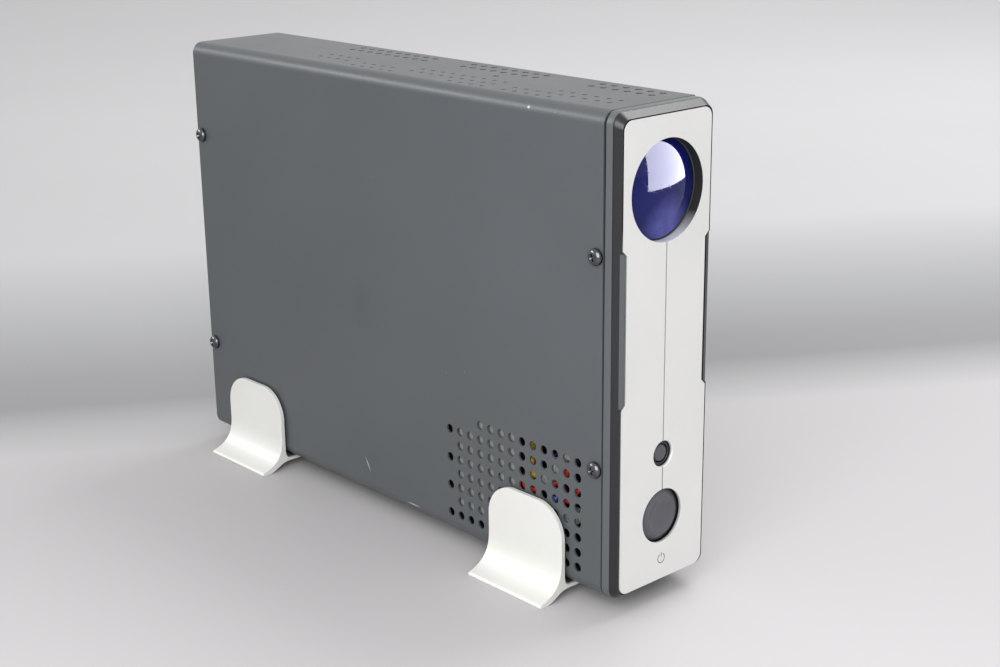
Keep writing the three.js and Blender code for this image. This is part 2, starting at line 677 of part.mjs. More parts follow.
function buildFanFrame() {
  const [y, z] = CPU;
  const h = 20;
  const x0 = FAN_X1 - FAN_D;
  const frame = slabYZ(roundedRect(y - h, z - h, y + h, z + h, 3), x0, FAN_X1, 3);
  const barrel = bar('x', FAN_R + 0.6, x0 - 1, FAN_X1 + 1, [0, y, z], 32);
  const struts = [];
  for (let i = 0; i < 3; i += 1) {
    const geometry = new THREE.BoxGeometry(1.2, 2, FAN_R + 1);
    geometry.translate(0, 0, (FAN_R + 1) / 2);
    geometry.rotateX((i / 3) * 2 * Math.PI);
    geometry.translate(FAN_X1 - 0.6, y, z);
    struts.push(toSolid(geometry));
  }
  const motor = bar('x', 8, FAN_X1 - 1.6, FAN_X1, [0, y, z], 20);
  const shaft = bar('x', 1, x0 + 2.4, FAN_X1 - 1, [0, y, z], 10);
  const holes = [[-1, -1], [-1, 1], [1, -1], [1, 1]].map(([a, b]) => (
    bar('x', TAPPED_R, x0 - 1, FAN_X1 + 1, [0, y + a * 16, z + b * 16], 8)));
  return join(cut(frame, barrel, ...holes), ...struts, motor, shaft);
}

// hub and seven pitched blades, turning on the frame's shaft
function buildFanRotor() {
  const hubR = 8;
  const hub = cut(
    bar('x', hubR, -FAN_D + 0.8, -2, [0, 0, 0], 24),
    bar('x', 1.3, -FAN_D + 2, 0, [0, 0, 0], 12),
  );
  const blades = [];
  for (let i = 0; i < 7; i += 1) {
    const geometry = new THREE.BoxGeometry(0.9, 7.6, FAN_R - hubR + 0.8);
    geometry.rotateZ(THREE.MathUtils.degToRad(-42));
    geometry.translate(-FAN_D / 2 - 0.5, 0, (FAN_R + hubR - 0.8) / 2);
    geometry.rotateX((i / 7) * 2 * Math.PI);
    blades.push(toSolid(geometry));
  }
  return join(hub, ...blades).intersect(bar('x', FAN_R, -FAN_D, 0, [0, 0, 0], 32));
}

const MEMORY_Z = MB_Z1 - 14;

function buildMemorySocket() {
  const y0 = MB_Y0 + 14;
  const x1 = MB_X - GAP;
  return cut(
    block(x1 - 8, y0, MEMORY_Z - 3.5, x1, y0 + 138, MEMORY_Z + 3.5),
    block(x1 - 9, y0 + 1.5, MEMORY_Z - 1, x1 - 2, y0 + 136.5, MEMORY_Z + 1),
  );
}

function buildMemoryModule() {
  const y0 = MB_Y0 + 16;
  const x1 = MB_X - GAP - 2.3;
  return block(x1 - 30, y0, MEMORY_Z - 0.7, x1, y0 + 133.35, MEMORY_Z + 0.7);
}

// a shielded connector block on the board's rear edge, with sockets that open to the rear
function portBlock(z0, z1, depth, height, sockets) {
  const x1 = MB_X - GAP;
  const y1 = CASE_L - 0.2;
  return cut(
    block(x1 - height, y1 - depth, z0, x1, y1, z1),
    ...sockets.map(([sx0, sz0, sx1, sz1, d]) => (
      block(x1 - sx1, y1 - d, z0 + sz0, x1 - sx0, y1 + 1, z0 + sz1))),
  );
}

const PORTS = {
  lanUsb: [IO_Z0 + 60, IO_Z0 + 76.5, 21, 28],
  video: [IO_Z0 + 18, IO_Z0 + 49, 16, 12.5],
  audio: [IO_Z0 + 118, IO_Z0 + 132, 16, 12.5],
};

function buildShield() {
  const y1 = REAR_WALL_Y - GAP;
  const inset = 0.4;
  const pan = block(IO_X0 - inset, y1 - 0.6, IO_Z0 - inset, IO_X1 + inset, y1, IO_Z1 + inset);
  const x1 = MB_X - GAP;
  const openings = [PORTS.lanUsb, PORTS.video].map(([z0, z1, , height]) => (
    block(x1 - height - GAP, y1 - 2, z0 - GAP, x1 + GAP, y1 + 1, z1 + GAP)));
  openings.push(bar('y', 4.6, y1 - 2, y1 + 1, [x1 - 6.2, 0, IO_Z0 + 125], 16));
  return cut(pan, ...openings);
}

function buildAudioJack() {
  const x1 = MB_X - GAP;
  const y1 = REAR_WALL_Y - GAP - 0.6 - GAP;
  const [z0, z1, depth, height] = PORTS.audio;
  const centre = [x1 - 6.2, 0, IO_Z0 + 125];
  return cut(
    join(
      block(x1 - height, y1 - depth, z0, x1, y1, z1),
      bar('y', 4, y1 - 0.2, CASE_L - 0.2, centre, 20),
    ),
    bar('y', 1.8, y1 - 12, CASE_L + 2, centre, 14),
  );
}

// round power inlet: threaded barrel through the rear wall, contact block inside
function buildInlet() {
  const y0 = REAR_WALL_Y - GAP;
  const centre = [INLET[0], 0, INLET[1]];
  return cut(
    join(
      bar('y', 5.6, y0 - 3, y0, centre, 6),
      bar('y', 4, y0 - 10, CASE_L - 0.1, centre, 20),
    ),
    bar('y', 3.2, y0 - 8.5, CASE_L + 1, centre, 16),
  );
}

function buildDcBoard() {
  const board = block(12, 15, 13, 13.6, 50, 64);
  return cut(board, ...DC_POSTS.map(([, y, z]) => bar('x', 1.9, 11, 15, [0, y, z], 12)));
}

// post with a shoulder under the power board and a pin through its hole
function buildPost() {
  return join(
    bar('x', 2.8, 13.6 + GAP, TRAY_INSIDE - GAP, [0, 0, 0], 16),
    bar('x', 1.5, 11, 14.2, [0, 0, 0], 12),
    bar('x', 1.4, TRAY_INSIDE - 0.5, HALF_W - 0.1, [0, 0, 0], 12),
  );
}

// white plug standing on a board at x = seat: a header, the plug in it and the plug's latch
function buildPlug(seat, y0, z0, width, length) {
  const headerX = seat - 10.2;
  const plugX = seat - 15.2;
  const middle = z0 + length / 2;
  return join(
    block(headerX, y0, z0, seat, y0 + width, z0 + length),
    block(plugX, y0 + 1, z0 + 1, headerX + 0.1, y0 + width - 1, z0 + length - 1),
    block(plugX + 2, y0 - 1.2, middle - 1.5, headerX + 3.5, y0 + 0.1, middle + 1.5),
  );
}

const DRIVE = { x0: -23.6, x1: -14.1, y0: 53.5, y1: 153.5, z0: 12, z1: 81.85 };

function buildDrive() {
  const body = block(DRIVE.x0, DRIVE.y0, DRIVE.z0, DRIVE.x1, DRIVE.y1, DRIVE.z1);
  const ledge = block(DRIVE.x1 - 2, DRIVE.y0 - 1, DRIVE.z0 + 4, DRIVE.x1 + 1, DRIVE.y0 + 6, DRIVE.z1 - 24);
  return cut(body, ledge);
}

// galvanised sheet round the drive, with a face over its front end and two legs to the chassis panel
const BRACKET_FACE_Y1 = 88.5;
const BRACKET_FACE_Z1 = 59.6;
const BRACKET_WEB = 5; // width of the strip that carries the face up to the top flange
const BRACKET_EDGE = 1.2; // how far the flanges pass the drive at both ends
const BRACKET_LEG = 12;
const BRACKET_FEET_Z = { front: 75, rear: 19.5 };

function buildBracket() {
  const { y0, y1, z0, z1, x0 } = DRIVE;
  const top = x0 - GAP;
  const low = z0 - GAP;
  const high = z1 + GAP;
  const foot = TRAY_INSIDE - GAP;
  const front = y0 - BRACKET_EDGE;
  const rear = y1 + BRACKET_EDGE;
  const leg = (ya, za, footZ) => [
    block(top - SHEET, ya, za, foot, ya + BRACKET_LEG, za + SHEET),
    block(foot - SHEET, ya, Math.min(za, footZ), foot, ya + BRACKET_LEG, Math.max(za + SHEET, footZ)),
  ];
  const sheet = join(
    block(top - SHEET, front, low - SHEET, top, BRACKET_FACE_Y1, BRACKET_FACE_Z1),
    block(top - SHEET, front, low - SHEET, top, front + BRACKET_WEB, high + SHEET),
    block(top - SHEET, front, low - SHEET, DRIVE.x1, rear, low),
    block(top - SHEET, front, high, DRIVE.x1, rear, high + SHEET),
    ...leg(front, high, BRACKET_FEET_Z.front),
    ...leg(rear - BRACKET_LEG, low - SHEET, BRACKET_FEET_Z.rear),
  );
  return cut(sheet, ...BRACKET_SCREWS.map(([, y, z]) => (
    bar('x', 1.8, foot - 2, foot + 1, [0, y, z], 12))));
}

// ---------------------------------------------------------------- assembly
const POINT_FORWARD = -Math.PI / 2; // turns a screw that points along +X to point along -Y

function addCase() {
  add('cover', buildCover(), powderCoat);
  add('chassis_tray', buildTray(), zincSteel);
  for (const [name, y, z] of COVER_SCREWS) {
    add(name, panScrew(3.5, 2.3, 1.4, 4.2), brightSteel, [-HALF_W - GAP, y, z]);
  }
}

function addFront() {
  add('front_bezel', buildBezel(), blackPlastic);
  add('front_plate', buildPlate(), satinAluminium);
  add('lens', buildLens(), blueLens);
  add('receiver_board', buildReceiver(), greenBoard);
  add('front_board', buildFrontBoard(), greenBoard);
  add('power_button', buildPowerButton(), greyPlastic);
  add('reset_button', buildResetButton(), greyPlastic);
  add('power_button_spring', buttonSpring(4.2, 0.35, 4), springSteel, [0, 0, POWER_Z]);
  add('reset_button_spring', buttonSpring(2.9, 0.25, 4), springSteel, [0, 0, RESET_Z]);
  add('power_switch', pushSwitch(6, POWER_Z), blackPlastic);
  add('reset_switch', pushSwitch(4.5, RESET_Z), blackPlastic);
  add('power_switch_plunger', switchPlunger(POWER_Z), whitePlastic);
  add('reset_switch_plunger', switchPlunger(RESET_Z), whitePlastic);
  for (const [name, z] of BEZEL_SCREWS) {
    const seat = FRONT_WALL_Y + SHEET + GAP;
    add(name, machineScrew(2.8, 1.6, 1.3, 6), brightSteel, [0, seat, z], POINT_FORWARD);
  }
  for (const [name, z] of BOARD_SCREWS) {
    const seat = BOARD_Y + BOARD_T + GAP;
    add(name, machineScrew(2.4, 1.4, 1, 6), brightSteel, [0, seat, z], POINT_FORWARD);
  }
}

function addStands() {
  for (const [end, y] of [['front', STAND_FRONT_Y], ['rear', STAND_REAR_Y]]) {
    add(`${end}_stand`, buildStand(), satinAluminium, [0, y, 0]);
    add(`${end}_stand_liner`, buildLiner(), rubber, [0, y, 0]);
  }
}

function addMotherboard() {
  const [cpuY, cpuZ] = CPU;
  add('motherboard', buildMotherboard(), greenBoard);
  STANDOFFS.forEach(([y, z], i) => {
    const seat = MB_X + MB_T + GAP;
    add(`board_standoff_${i + 1}`, buildStandoff(TRAY_INSIDE - GAP - seat), brass, [seat, y, z]);
    add(`board_screw_${i + 1}`, machineScrew(2.8, 1.6, 1.2, 5), brightSteel, [MB_X - GAP, y, z]);
  });
  add('processor', block(SINK_X1 + GAP, cpuY - 12, cpuZ - 12, MB_X - GAP, cpuY + 12, cpuZ + 12), greyPlastic);
  add('heatsink', buildHeatsink(), anodised);
  add('fan_frame', buildFanFrame(), blackPlastic);
  add('fan_rotor', buildFanRotor(), blackPlastic, [FAN_X1, cpuY, cpuZ]);
  add('memory_socket', buildMemorySocket(), blackPlastic);
  add('memory_module', buildMemoryModule(), greenBoard);
  add('battery', bar('x', 10, MB_X - GAP - 3.2, MB_X - GAP, [0, MB_Y0 + 24, MB_Z0 + 62], 32), brightSteel);
}

function addRearPorts() {
  const stacked = [[14.8, 1.5, 26.5, 15, 10], [1.4, 1.5, 6.6, 15, 8], [7.8, 1.5, 13, 15, 8]];
  add('io_shield', buildShield(), zincSteel);
  add('lan_usb_ports', portBlock(...PORTS.lanUsb, stacked), zincSteel);
  add('video_port', portBlock(...PORTS.video, [[2.5, 6, 10, 25, 5]]), blueWire);
  add('audio_jack', buildAudioJack(), greenBoard);
  add('dc_inlet', buildInlet(), blackPlastic);
}

function addPower() {
  add('dc_board', buildDcBoard(), greenBoard);
  for (const [name, y, z] of DC_POSTS) add(name, buildPost(), whitePlastic, [0, y, z]);
  add('dc_output_plug', buildPlug(12 - GAP, 21, 30, 12, 24), whitePlastic);
  add('board_power_plug', buildPlug(MB_X - GAP, MB_Y0 + 3, 96, 9, 26), whitePlastic);
  add('drive', buildDrive(), anodised);
  add('drive_bracket', buildBracket(), zincSteel);
  for (const [name, y, z] of BRACKET_SCREWS) {
    const seat = TRAY_INSIDE - GAP - SHEET - GAP;
    add(name, machineScrew(2.8, 1.6, 1.3, 2.5), brightSteel, [seat, y, z]);
  }
}

// the wires are whole, from one plug to the other
function addWires() {
  add('red_wire', wire([
    [-4, 26, 36], [-10, 26, 36], [-17, 28, 40], [-19, 32, 52], [-17, 36, 66], [-10, 44, 86],
    [-6, 62, 98], [-6, 84, 104], [-3, 102, 104], [1.6, 113.5, 104],
  ], 0.9, 30), redWire);
  add('blue_wire', wire([
    [-4, 28, 46], [-10, 28, 47], [-17, 34, 50], [-19, 44, 44], [-18, 48, 34], [-15.5, 50, 26],
    [-15.5, 53, 24],
  ], 0.9, 20), blueWire);
  add('yellow_wire', wire([
    [INLET[0], REAR_WALL_Y - 11, INLET[1]], [2, 240, 15], [2, 150, 15], [0, 70, 16], [-6, 50, 20],
    [-14, 44, 26], [-16, 38, 34], [-10, 38, 44], [4, 40, 46], [11.4, 40, 46],
  ], 0.9, 44), yellowWire);
}

addCase();
addFront();
addStands();
addMotherboard();
addRearPorts();
addPower();
addWires();

export default tower;
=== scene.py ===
# %% [markdown]
# # A slim computer that stands on its edge
#
# This lesson builds the visible model of a slim desktop computer: a folded steel cover, a framed
# aluminium front with a round lens and two buttons, and two aluminium cradles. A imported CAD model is
# the fixed frame. It says where each part is, how large it is and what moves. Blender's work here is
# the look: true bends, fine edges and real finishes.

import json
import math

import bmesh
import bpy
from mathutils import Matrix, Vector

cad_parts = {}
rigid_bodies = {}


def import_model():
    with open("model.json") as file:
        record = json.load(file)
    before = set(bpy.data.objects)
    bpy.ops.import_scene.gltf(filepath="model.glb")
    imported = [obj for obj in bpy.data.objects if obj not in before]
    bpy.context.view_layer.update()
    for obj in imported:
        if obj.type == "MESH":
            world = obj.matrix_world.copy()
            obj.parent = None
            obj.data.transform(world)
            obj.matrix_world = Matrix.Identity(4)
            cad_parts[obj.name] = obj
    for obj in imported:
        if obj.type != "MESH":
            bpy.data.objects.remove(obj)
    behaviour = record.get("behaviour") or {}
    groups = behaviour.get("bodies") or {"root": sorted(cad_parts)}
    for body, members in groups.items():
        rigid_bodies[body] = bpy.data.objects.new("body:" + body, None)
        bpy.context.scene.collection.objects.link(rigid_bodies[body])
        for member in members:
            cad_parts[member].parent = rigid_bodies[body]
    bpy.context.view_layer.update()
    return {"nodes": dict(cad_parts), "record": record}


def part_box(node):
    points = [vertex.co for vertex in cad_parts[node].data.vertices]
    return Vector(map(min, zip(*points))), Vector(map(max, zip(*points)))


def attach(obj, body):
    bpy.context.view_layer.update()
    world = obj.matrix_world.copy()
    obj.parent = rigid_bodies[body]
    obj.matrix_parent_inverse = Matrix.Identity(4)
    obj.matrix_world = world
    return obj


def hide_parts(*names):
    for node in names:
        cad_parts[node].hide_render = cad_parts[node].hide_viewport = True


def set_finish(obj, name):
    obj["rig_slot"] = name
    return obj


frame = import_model()
nodes = frame["nodes"]

# %% [markdown]
# ## One set of measures
#
# Sizes are in millimetres, because sheet metal and small plastic parts are drawn in millimetres. A
# place is given in the case's own frame: x across, y back from the front edge of the cover, and z up
# from the case's underside. `at` turns such a place into Blender's metres.

# %% Driving sizes
MM = 0.001
CASE_W = 54
CASE_H = 200
CASE_L = 281.2
BEND = 5.5  # outer radius of the cover's bends and of the bezel's corners
SHEET = 1
SEAM_Y = -0.6  # middle of the dark line between the bezel and the cover
SEAM = 0.35  # half of that line's width
COVER_Y0 = SEAM_Y + SEAM
BEZEL_REAR = SEAM_Y - SEAM
HALF_W = CASE_W / 2
BEZEL_D = 8.8  # the front plate's face, ahead of the cover's edge
STRIP_D = 4.8
PLATE_W = 49.4
PLATE_GAP = 0.5
PLATE_CORNER = 4.2
PLATE_Z0 = 2.8
PLATE_Z1 = 196.8
PLATE_T = 1.2
LENS_Z = 167
LENS_HOLE_R = 20.45
RESET_Z = 58.1
RESET_HOLE_R = 5.4
POWER_Z = 31
POWER_HOLE_R = 11.6
NOTCH_Z0 = 82.3
NOTCH_Z1 = 147
NOTCH_D = 2.2

FACE_Y = -BEZEL_D
EDGE_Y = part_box("front_plate")[0].y / MM - FACE_Y
UNDERSIDE_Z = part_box("cover")[0].z / MM


def at(x, y, z):
    """A place in the case's frame, in millimetres, as a point in metres."""
    return Vector((x, y + EDGE_Y, z + UNDERSIDE_Z)) * MM


print("cover's front line at y =", round(EDGE_Y, 2), "mm, underside at z =", round(UNDERSIDE_Z, 2), "mm")

# %% [markdown]
# ## Working by hand, in code
#
# An operator acts on whatever is selected, so each step starts by selecting exactly one object, and
# in edit mode exactly the faces or edges that it needs. These helpers choose them by place or by
# direction, the way a person would click on them.


# %% Selecting
def only(piece):
    """Leaves edit mode and makes this the one selected, active object."""
    if bpy.context.object and bpy.context.object.mode != "OBJECT":
        bpy.ops.object.mode_set(mode="OBJECT")
    bpy.ops.object.select_all(action="DESELECT")
    piece.select_set(True)
    bpy.context.view_layer.objects.active = piece


def pick(piece, kind, test):
    """In edit mode, selects the vertices, edges or faces whose centre and direction pass the test."""
    if piece.mode != "EDIT":
        only(piece)
        bpy.ops.object.mode_set(mode="EDIT")
    bpy.ops.mesh.select_mode(type=kind)
    bpy.ops.mesh.select_all(action="DESELECT")
    shape = bmesh.from_edit_mesh(piece.data)
    count = 0
    if kind == "FACE":
        for face in shape.faces:
            if test(face.calc_center_median(), face.normal):
                face.select_set(True)
                count += 1
    if kind == "EDGE":
        for edge in shape.edges:
            a, b = (corner.co for corner in edge.verts)
            if test((a + b) / 2, (b - a).normalized()):
                edge.select_set(True)
                count += 1
    if kind == "VERT":
        for vertex in shape.verts:
            if test(vertex.co, vertex.normal):
                vertex.select_set(True)
                count += 1
    shape.select_flush_mode()
    bmesh.update_edit_mesh(piece.data)
    return count


def done(piece):
    """Leaves edit mode and puts the piece's place into its mesh."""
    only(piece)
    bpy.ops.object.transform_apply(location=True, rotation=True, scale=True)
    return piece


def along(direction, axis):
    """True where an edge or normal runs along an axis: 0 is X, 1 is Y and 2 is Z."""
    return abs(direction[axis]) > 0.99


# %% [markdown]
# ## Blanks
#
# Most parts start as one of three blanks: a block, a round bar, or an outline drawn corner by corner
# and then pulled out into a bar, as aluminium is extruded through a die.


# %% Blanks
def block(name, low, high):
    """A rectangular blank between two corners, in millimetres in the case's frame."""
    a, b = at(*low), at(*high)
    bpy.ops.mesh.primitive_cube_add(size=1, location=(a + b) / 2, scale=b - a)
    piece = bpy.context.object
    piece.name = name
    return done(piece)


def rod(name, radius, start, end, centre, axis="Y", sides=32):
    """A round bar along X, Y or Z; centre gives the other two coordinates in order."""
    turn = {"X": (0, math.pi / 2, 0), "Y": (math.pi / 2, 0, 0), "Z": (0, 0, 0)}[axis]
    middle = (start + end) / 2
    u, v = centre
    place = {"X": (middle, u, v), "Y": (u, middle, v), "Z": (u, v, middle)}[axis]
    bpy.ops.mesh.primitive_cylinder_add(
        vertices=sides, radius=radius * MM, depth=abs(end - start) * MM, location=at(*place), rotation=turn)
    piece = bpy.context.object
    piece.name = name
    return done(piece)


def drawn(name, outline, y0, y1):
    """An outline of (x, z) corners, drawn by extruding a vertex, filled, and pulled out along Y."""
    corners = [at(x, y0, z) for x, z in outline]
    bpy.ops.mesh.primitive_plane_add(size=MM, location=corners[0])
    piece = bpy.context.object
    piece.name = name
    bpy.ops.object.mode_set(mode="EDIT")
    bpy.ops.mesh.select_mode(type="VERT")
    bpy.ops.mesh.select_all(action="SELECT")
    bpy.ops.mesh.merge(type="CENTER")
    for here, there in zip(corners, corners[1:] + corners[:1]):
        bpy.ops.mesh.extrude_region_move(TRANSFORM_OT_translate={"value": there - here})
    bpy.ops.mesh.select_all(action="SELECT")
    bpy.ops.mesh.remove_doubles(threshold=0.001 * MM)
    bpy.ops.mesh.edge_face_add()
    bpy.ops.mesh.select_all(action="SELECT")
    bpy.ops.mesh.extrude_region_move(TRANSFORM_OT_translate={"value": (0, (y1 - y0) * MM, 0)})
    bpy.ops.mesh.select_all(action="SELECT")
    bpy.ops.mesh.normals_make_consistent(inside=False)
    return done(piece)


def turned(name, profile, centre, sides=96):
    """A part turned on a lathe about Y: a disc extruded and resized through each (radius, y)."""
    x, z = centre
    radius, y = profile[0]
    bpy.ops.mesh.primitive_circle_add(
        vertices=sides, radius=radius * MM, fill_type="NGON", location=at(x, y, z),
        rotation=(math.pi / 2, 0, 0))
    piece = bpy.context.object
    piece.name = name
    bpy.ops.object.mode_set(mode="EDIT")
    bpy.ops.mesh.select_mode(type="FACE")
    bpy.ops.mesh.select_all(action="SELECT")
    for next_radius, next_y in profile[1:]:
        bpy.ops.mesh.extrude_region_move(TRANSFORM_OT_translate={"value": (0, (next_y - y) * MM, 0)})
        size = next_radius / radius
        bpy.ops.transform.resize(value=(size, 1, size), center_override=at(x, next_y, z))
        radius, y = next_radius, next_y
    bpy.ops.mesh.select_all(action="SELECT")
    bpy.ops.mesh.remove_doubles(threshold=0.0005 * MM)
    bpy.ops.mesh.normals_make_consistent(inside=False)
    return done(piece)


# %% [markdown]
# ## Cutting, softening and fitting
#
# A punched hole or a milled pocket is a Boolean with the tool's own shape. Real edges are never
# perfectly sharp, and the thin line of light on them tells the eye how large a part is, so every piece
# gets a small bevel with the Bevel modifier, and flat faces keep their own normals.


# %% Cutting and softening
def apply(piece, kind, **settings):
    """Adds one modifier with its settings and applies it."""
    only(piece)
    modifier = piece.modifiers.new(kind.title(), kind)
    for key, value in settings.items():
        setattr(modifier, key, value)
    bpy.ops.object.modifier_apply(modifier=modifier.name)
    return piece


def joined(tools):
    """Several pieces joined into one object."""
    only(tools[0])
    for tool in tools:
        tool.select_set(True)
    if len(tools) > 1:
        bpy.ops.object.join()
    return bpy.context.object


def cut(piece, *tools, operation="DIFFERENCE"):
    """Cuts with each tool in turn, and puts the tool away."""
    for tool in tools:
        apply(piece, "BOOLEAN", object=tool, operation=operation, solver="EXACT")
        bpy.data.objects.remove(tool)
    return piece


def soften(piece, width, segments=2, angle=40):
    """Small rounds on every edge sharper than the angle; large faces keep their own flat shading."""
    apply(piece, "BEVEL", width=width * MM, segments=segments, limit_method="ANGLE",
          angle_limit=math.radians(angle))
    only(piece)
    bpy.ops.object.shade_smooth_by_angle(angle=math.radians(angle))
    return apply(piece, "WEIGHTED_NORMAL", keep_sharp=True, weight=90)


def round_edges(piece, test, radius, segments):
    """Rounds only the edges that pass the test."""
    pick(piece, "EDGE", test)
    bpy.ops.mesh.bevel(offset=radius * MM, segments=segments, affect="EDGES")
    bpy.ops.object.mode_set(mode="OBJECT")
    return piece


def copied(piece, name, x=0, y=0, z=0):
    """A copy with its own mesh, moved by so many millimetres."""
    twin = bpy.data.objects.new(name, piece.data.copy())
    bpy.context.collection.objects.link(twin)
    twin.data.transform(Matrix.Translation(Vector((x, y, z)) * MM))
    return twin


def fit(piece, node, body="case"):
    """Lets a finished piece stand for its CAD node, ride on its body and take its material slot."""
    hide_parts(node)
    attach(piece, body)
    for part in frame["record"]["subparts"]:
        if part["node"] == node:
            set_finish(piece, part["material_slot"])
    print(f"{piece.name}: {len(piece.data.polygons)} faces for {node}")


def bezier(p0, p1, p2, p3, steps):
    """Points on one cubic curve, without its last point."""
    points = []
    for i in range(steps):
        t = i / steps
        s = 1 - t
        weights = (s ** 3, 3 * s * s * t, 3 * s * t * t, t ** 3)
        points.append(tuple(sum(w * p[k] for w, p in zip(weights, (p0, p1, p2, p3))) for k in (0, 1)))
    return points


# %% [markdown]
# ## The camera
#
# The camera stands a little above the case, to its front left, and looks slightly down. Its place and
# lens were worked out from the case's own corners.

# %% Camera
LENS_MM = 59.73
CAMERA_AT = (-469.0, -427.5, 307.4)
AZIMUTH = -42.272
ELEVATION = 17.52
ROLL = -0.69


def make_camera():
    turn, rise = math.radians(AZIMUTH), math.radians(ELEVATION)
    back = Vector((math.sin(turn) * math.cos(rise), -math.cos(turn) * math.cos(rise), math.sin(rise)))
    right = Vector((0, 0, 1)).cross(back).normalized()
    up = back.cross(right)
    facing = Matrix((right, up, back)).transposed().to_4x4()
    bpy.ops.object.camera_add(location=at(*CAMERA_AT))
    camera = bpy.context.object
    camera.matrix_world = (
        Matrix.Translation(at(*CAMERA_AT)) @ facing @ Matrix.Rotation(math.radians(ROLL), 4, "Z"))
    camera.data.lens = LENS_MM
    camera.data.sensor_width = 36
    camera.data.clip_start = 0.01
    camera.data.clip_end = 50
    bpy.context.scene.camera = camera
    return camera


camera = make_camera()
print("camera at", tuple(round(v, 3) for v in camera.location))

# %% [markdown]
# ## The cover
#
# The cover is one sheet of steel, 1 mm thick, folded into a U: a large side with a flange along the
# top and another along the bottom. It could be built from three boxes, but then the bends would be
# wrong. Here a block loses its open sides, its two long edges are rounded to the bend radius, and
# Solidify gives the skin its thickness inward.

# %% Cover sheet
COVER_RIGHT = HALF_W - 2.8


def fold_cover():
    sheet = block("cover_sheet", (-HALF_W, COVER_Y0, 0), (COVER_RIGHT, CASE_L, CASE_H))
    pick(sheet, "FACE", lambda c, n: n.x > 0.9 or along(n, 1))
    bpy.ops.mesh.delete(type="FACE")
    left = at(-HALF_W, 0, 0).x
    pick(sheet, "EDGE", lambda c, d: along(d, 1) and abs(c.x - left) < 1e-5)
    bpy.ops.mesh.bevel(offset=BEND * MM, segments=14, affect="EDGES")
    bpy.ops.object.mode_set(mode="OBJECT")
    return apply(sheet, "SOLIDIFY", thickness=SHEET * MM, offset=-1)


cover = fold_cover()
print("folded sheet:", [round(v * 1000, 1) for v in cover.dimensions], "mm")

# %% [markdown]
# ## Punched vents
#
# A turret press punches every hole on one square grid, 6.6 mm apart. The side has a full field of
# 4 mm holes that loses some at its top and back corner. The top has short runs of smaller holes. One
# punch is modelled, copied to each place, and all the punches are joined, so the sheet is cut once.
# The shallow dent behind the middle of the side is pressed with a small ball in the same way.

# %% Vent holes
PITCH = 6.6
SIDE_HOLE_R = 2
TOP_HOLE_R = 1.55
SMALL_HOLE_R = 1.05  # the runs along the left half of the top
COVER_SCREWS = {
    "cover_screw_front_upper": (3.1, 143.4),
    "cover_screw_front_lower": (3.1, 55.4),
    "cover_screw_rear_upper": (277.4, 154.6),
    "cover_screw_rear_lower": (277.4, 46.4),
}
TOP_RUNS = [  # x, first y and number of holes of each run
    (18.5, 11.4, 6), (11.9, 11.4, 6), (18.5, 77.4, 8), (11.9, 77.4, 8), (18.5, 150, 9), (11.9, 150, 9),
    (-5.3, 11.4, 6), (-11.9, 11.4, 6), (-11.9, 51, 3), (-18.5, 37.8, 5),
    (-5.3, 77.4, 4), (-11.9, 77.4, 4), (-18.5, 77.4, 4),
    (-5.3, 103.8, 5), (-11.9, 103.8, 5), (-11.9, 143.4, 4), (-18.5, 136.8, 5),
    (-5.3, 176.4, 4), (-11.9, 176.4, 4), (3.3, 92.5, 1),
]


def side_holes():
    """(y, z) of every hole in the side's field."""
    holes = []
    for row in range(8):
        columns = 10 if row == 7 else 12
        holes += [(13 + PITCH * column, 9.2 + PITCH * row) for column in range(columns)]
        if row % 2 == 0:
            holes.append((13 + PITCH * 12, 9.2 + PITCH * row))
    return holes


def punch_cover():
    side_punch = rod("side_punch", SIDE_HOLE_R, -HALF_W - 2, -HALF_W + 3, (0, 0), "X", 24)
    top_punch = rod("top_punch", TOP_HOLE_R, CASE_H - 3, CASE_H + 2, (0, 0), "Z", 20)
    small_punch = rod("small_punch", SMALL_HOLE_R, CASE_H - 3, CASE_H + 2, (0, 0), "Z", 16)
    screw_punch = rod("screw_punch", 1.9, -HALF_W - 2, -HALF_W + 3, (0, 0), "X", 24)
    punches = [copied(side_punch, "punch", y=y, z=z) for y, z in side_holes()]
    punches += [copied(screw_punch, "punch", y=y, z=z) for y, z in COVER_SCREWS.values()]
    for x, first, count in TOP_RUNS:
        pattern = small_punch if x < 0 else top_punch
        punches += [copied(pattern, "punch", x=x, y=first + PITCH * i) for i in range(count)]
    for punch in (side_punch, top_punch, small_punch, screw_punch):
        bpy.data.objects.remove(punch)
    print("holes:", len(punches))
    cut(cover, joined(punches))
    bpy.ops.mesh.primitive_uv_sphere_add(
        segments=32, ring_count=24, radius=9 * MM, location=at(-HALF_W - 8.72, 154, 83.5))
    cut(cover, done(bpy.context.object))
    soften(cover, 0.14, 2, 40)


punch_cover()
cover.name = "folded_cover"
fit(cover, "cover")

# %% [markdown]
# ## The bezel
#
# The bezel is a moulded plastic frame. Its sides run straight for 4.4 mm and then slope in to the edge
# of the aluminium plate. Insetting the front face and pushing it forward makes that slope all the way
# round in one step. Then the pocket for the plate, the lens cup and the button guides are cut.


# %% Plate outline and bezel
def notch(name, side, grow, depth):
    """The wedge that a side notch takes out of the plate; grow makes the plate larger."""
    edge = PLATE_W / 2 + grow
    reach = edge - depth
    low, high = NOTCH_Z0 + grow * 0.4, NOTCH_Z1 - grow * 0.4
    outline = [(reach, low + depth), (edge + 1, low - 1), (edge + 1, high + 1), (reach, high - depth)]
    return drawn(name, [(side * x, z) for x, z in outline], FACE_Y - 12, 2)


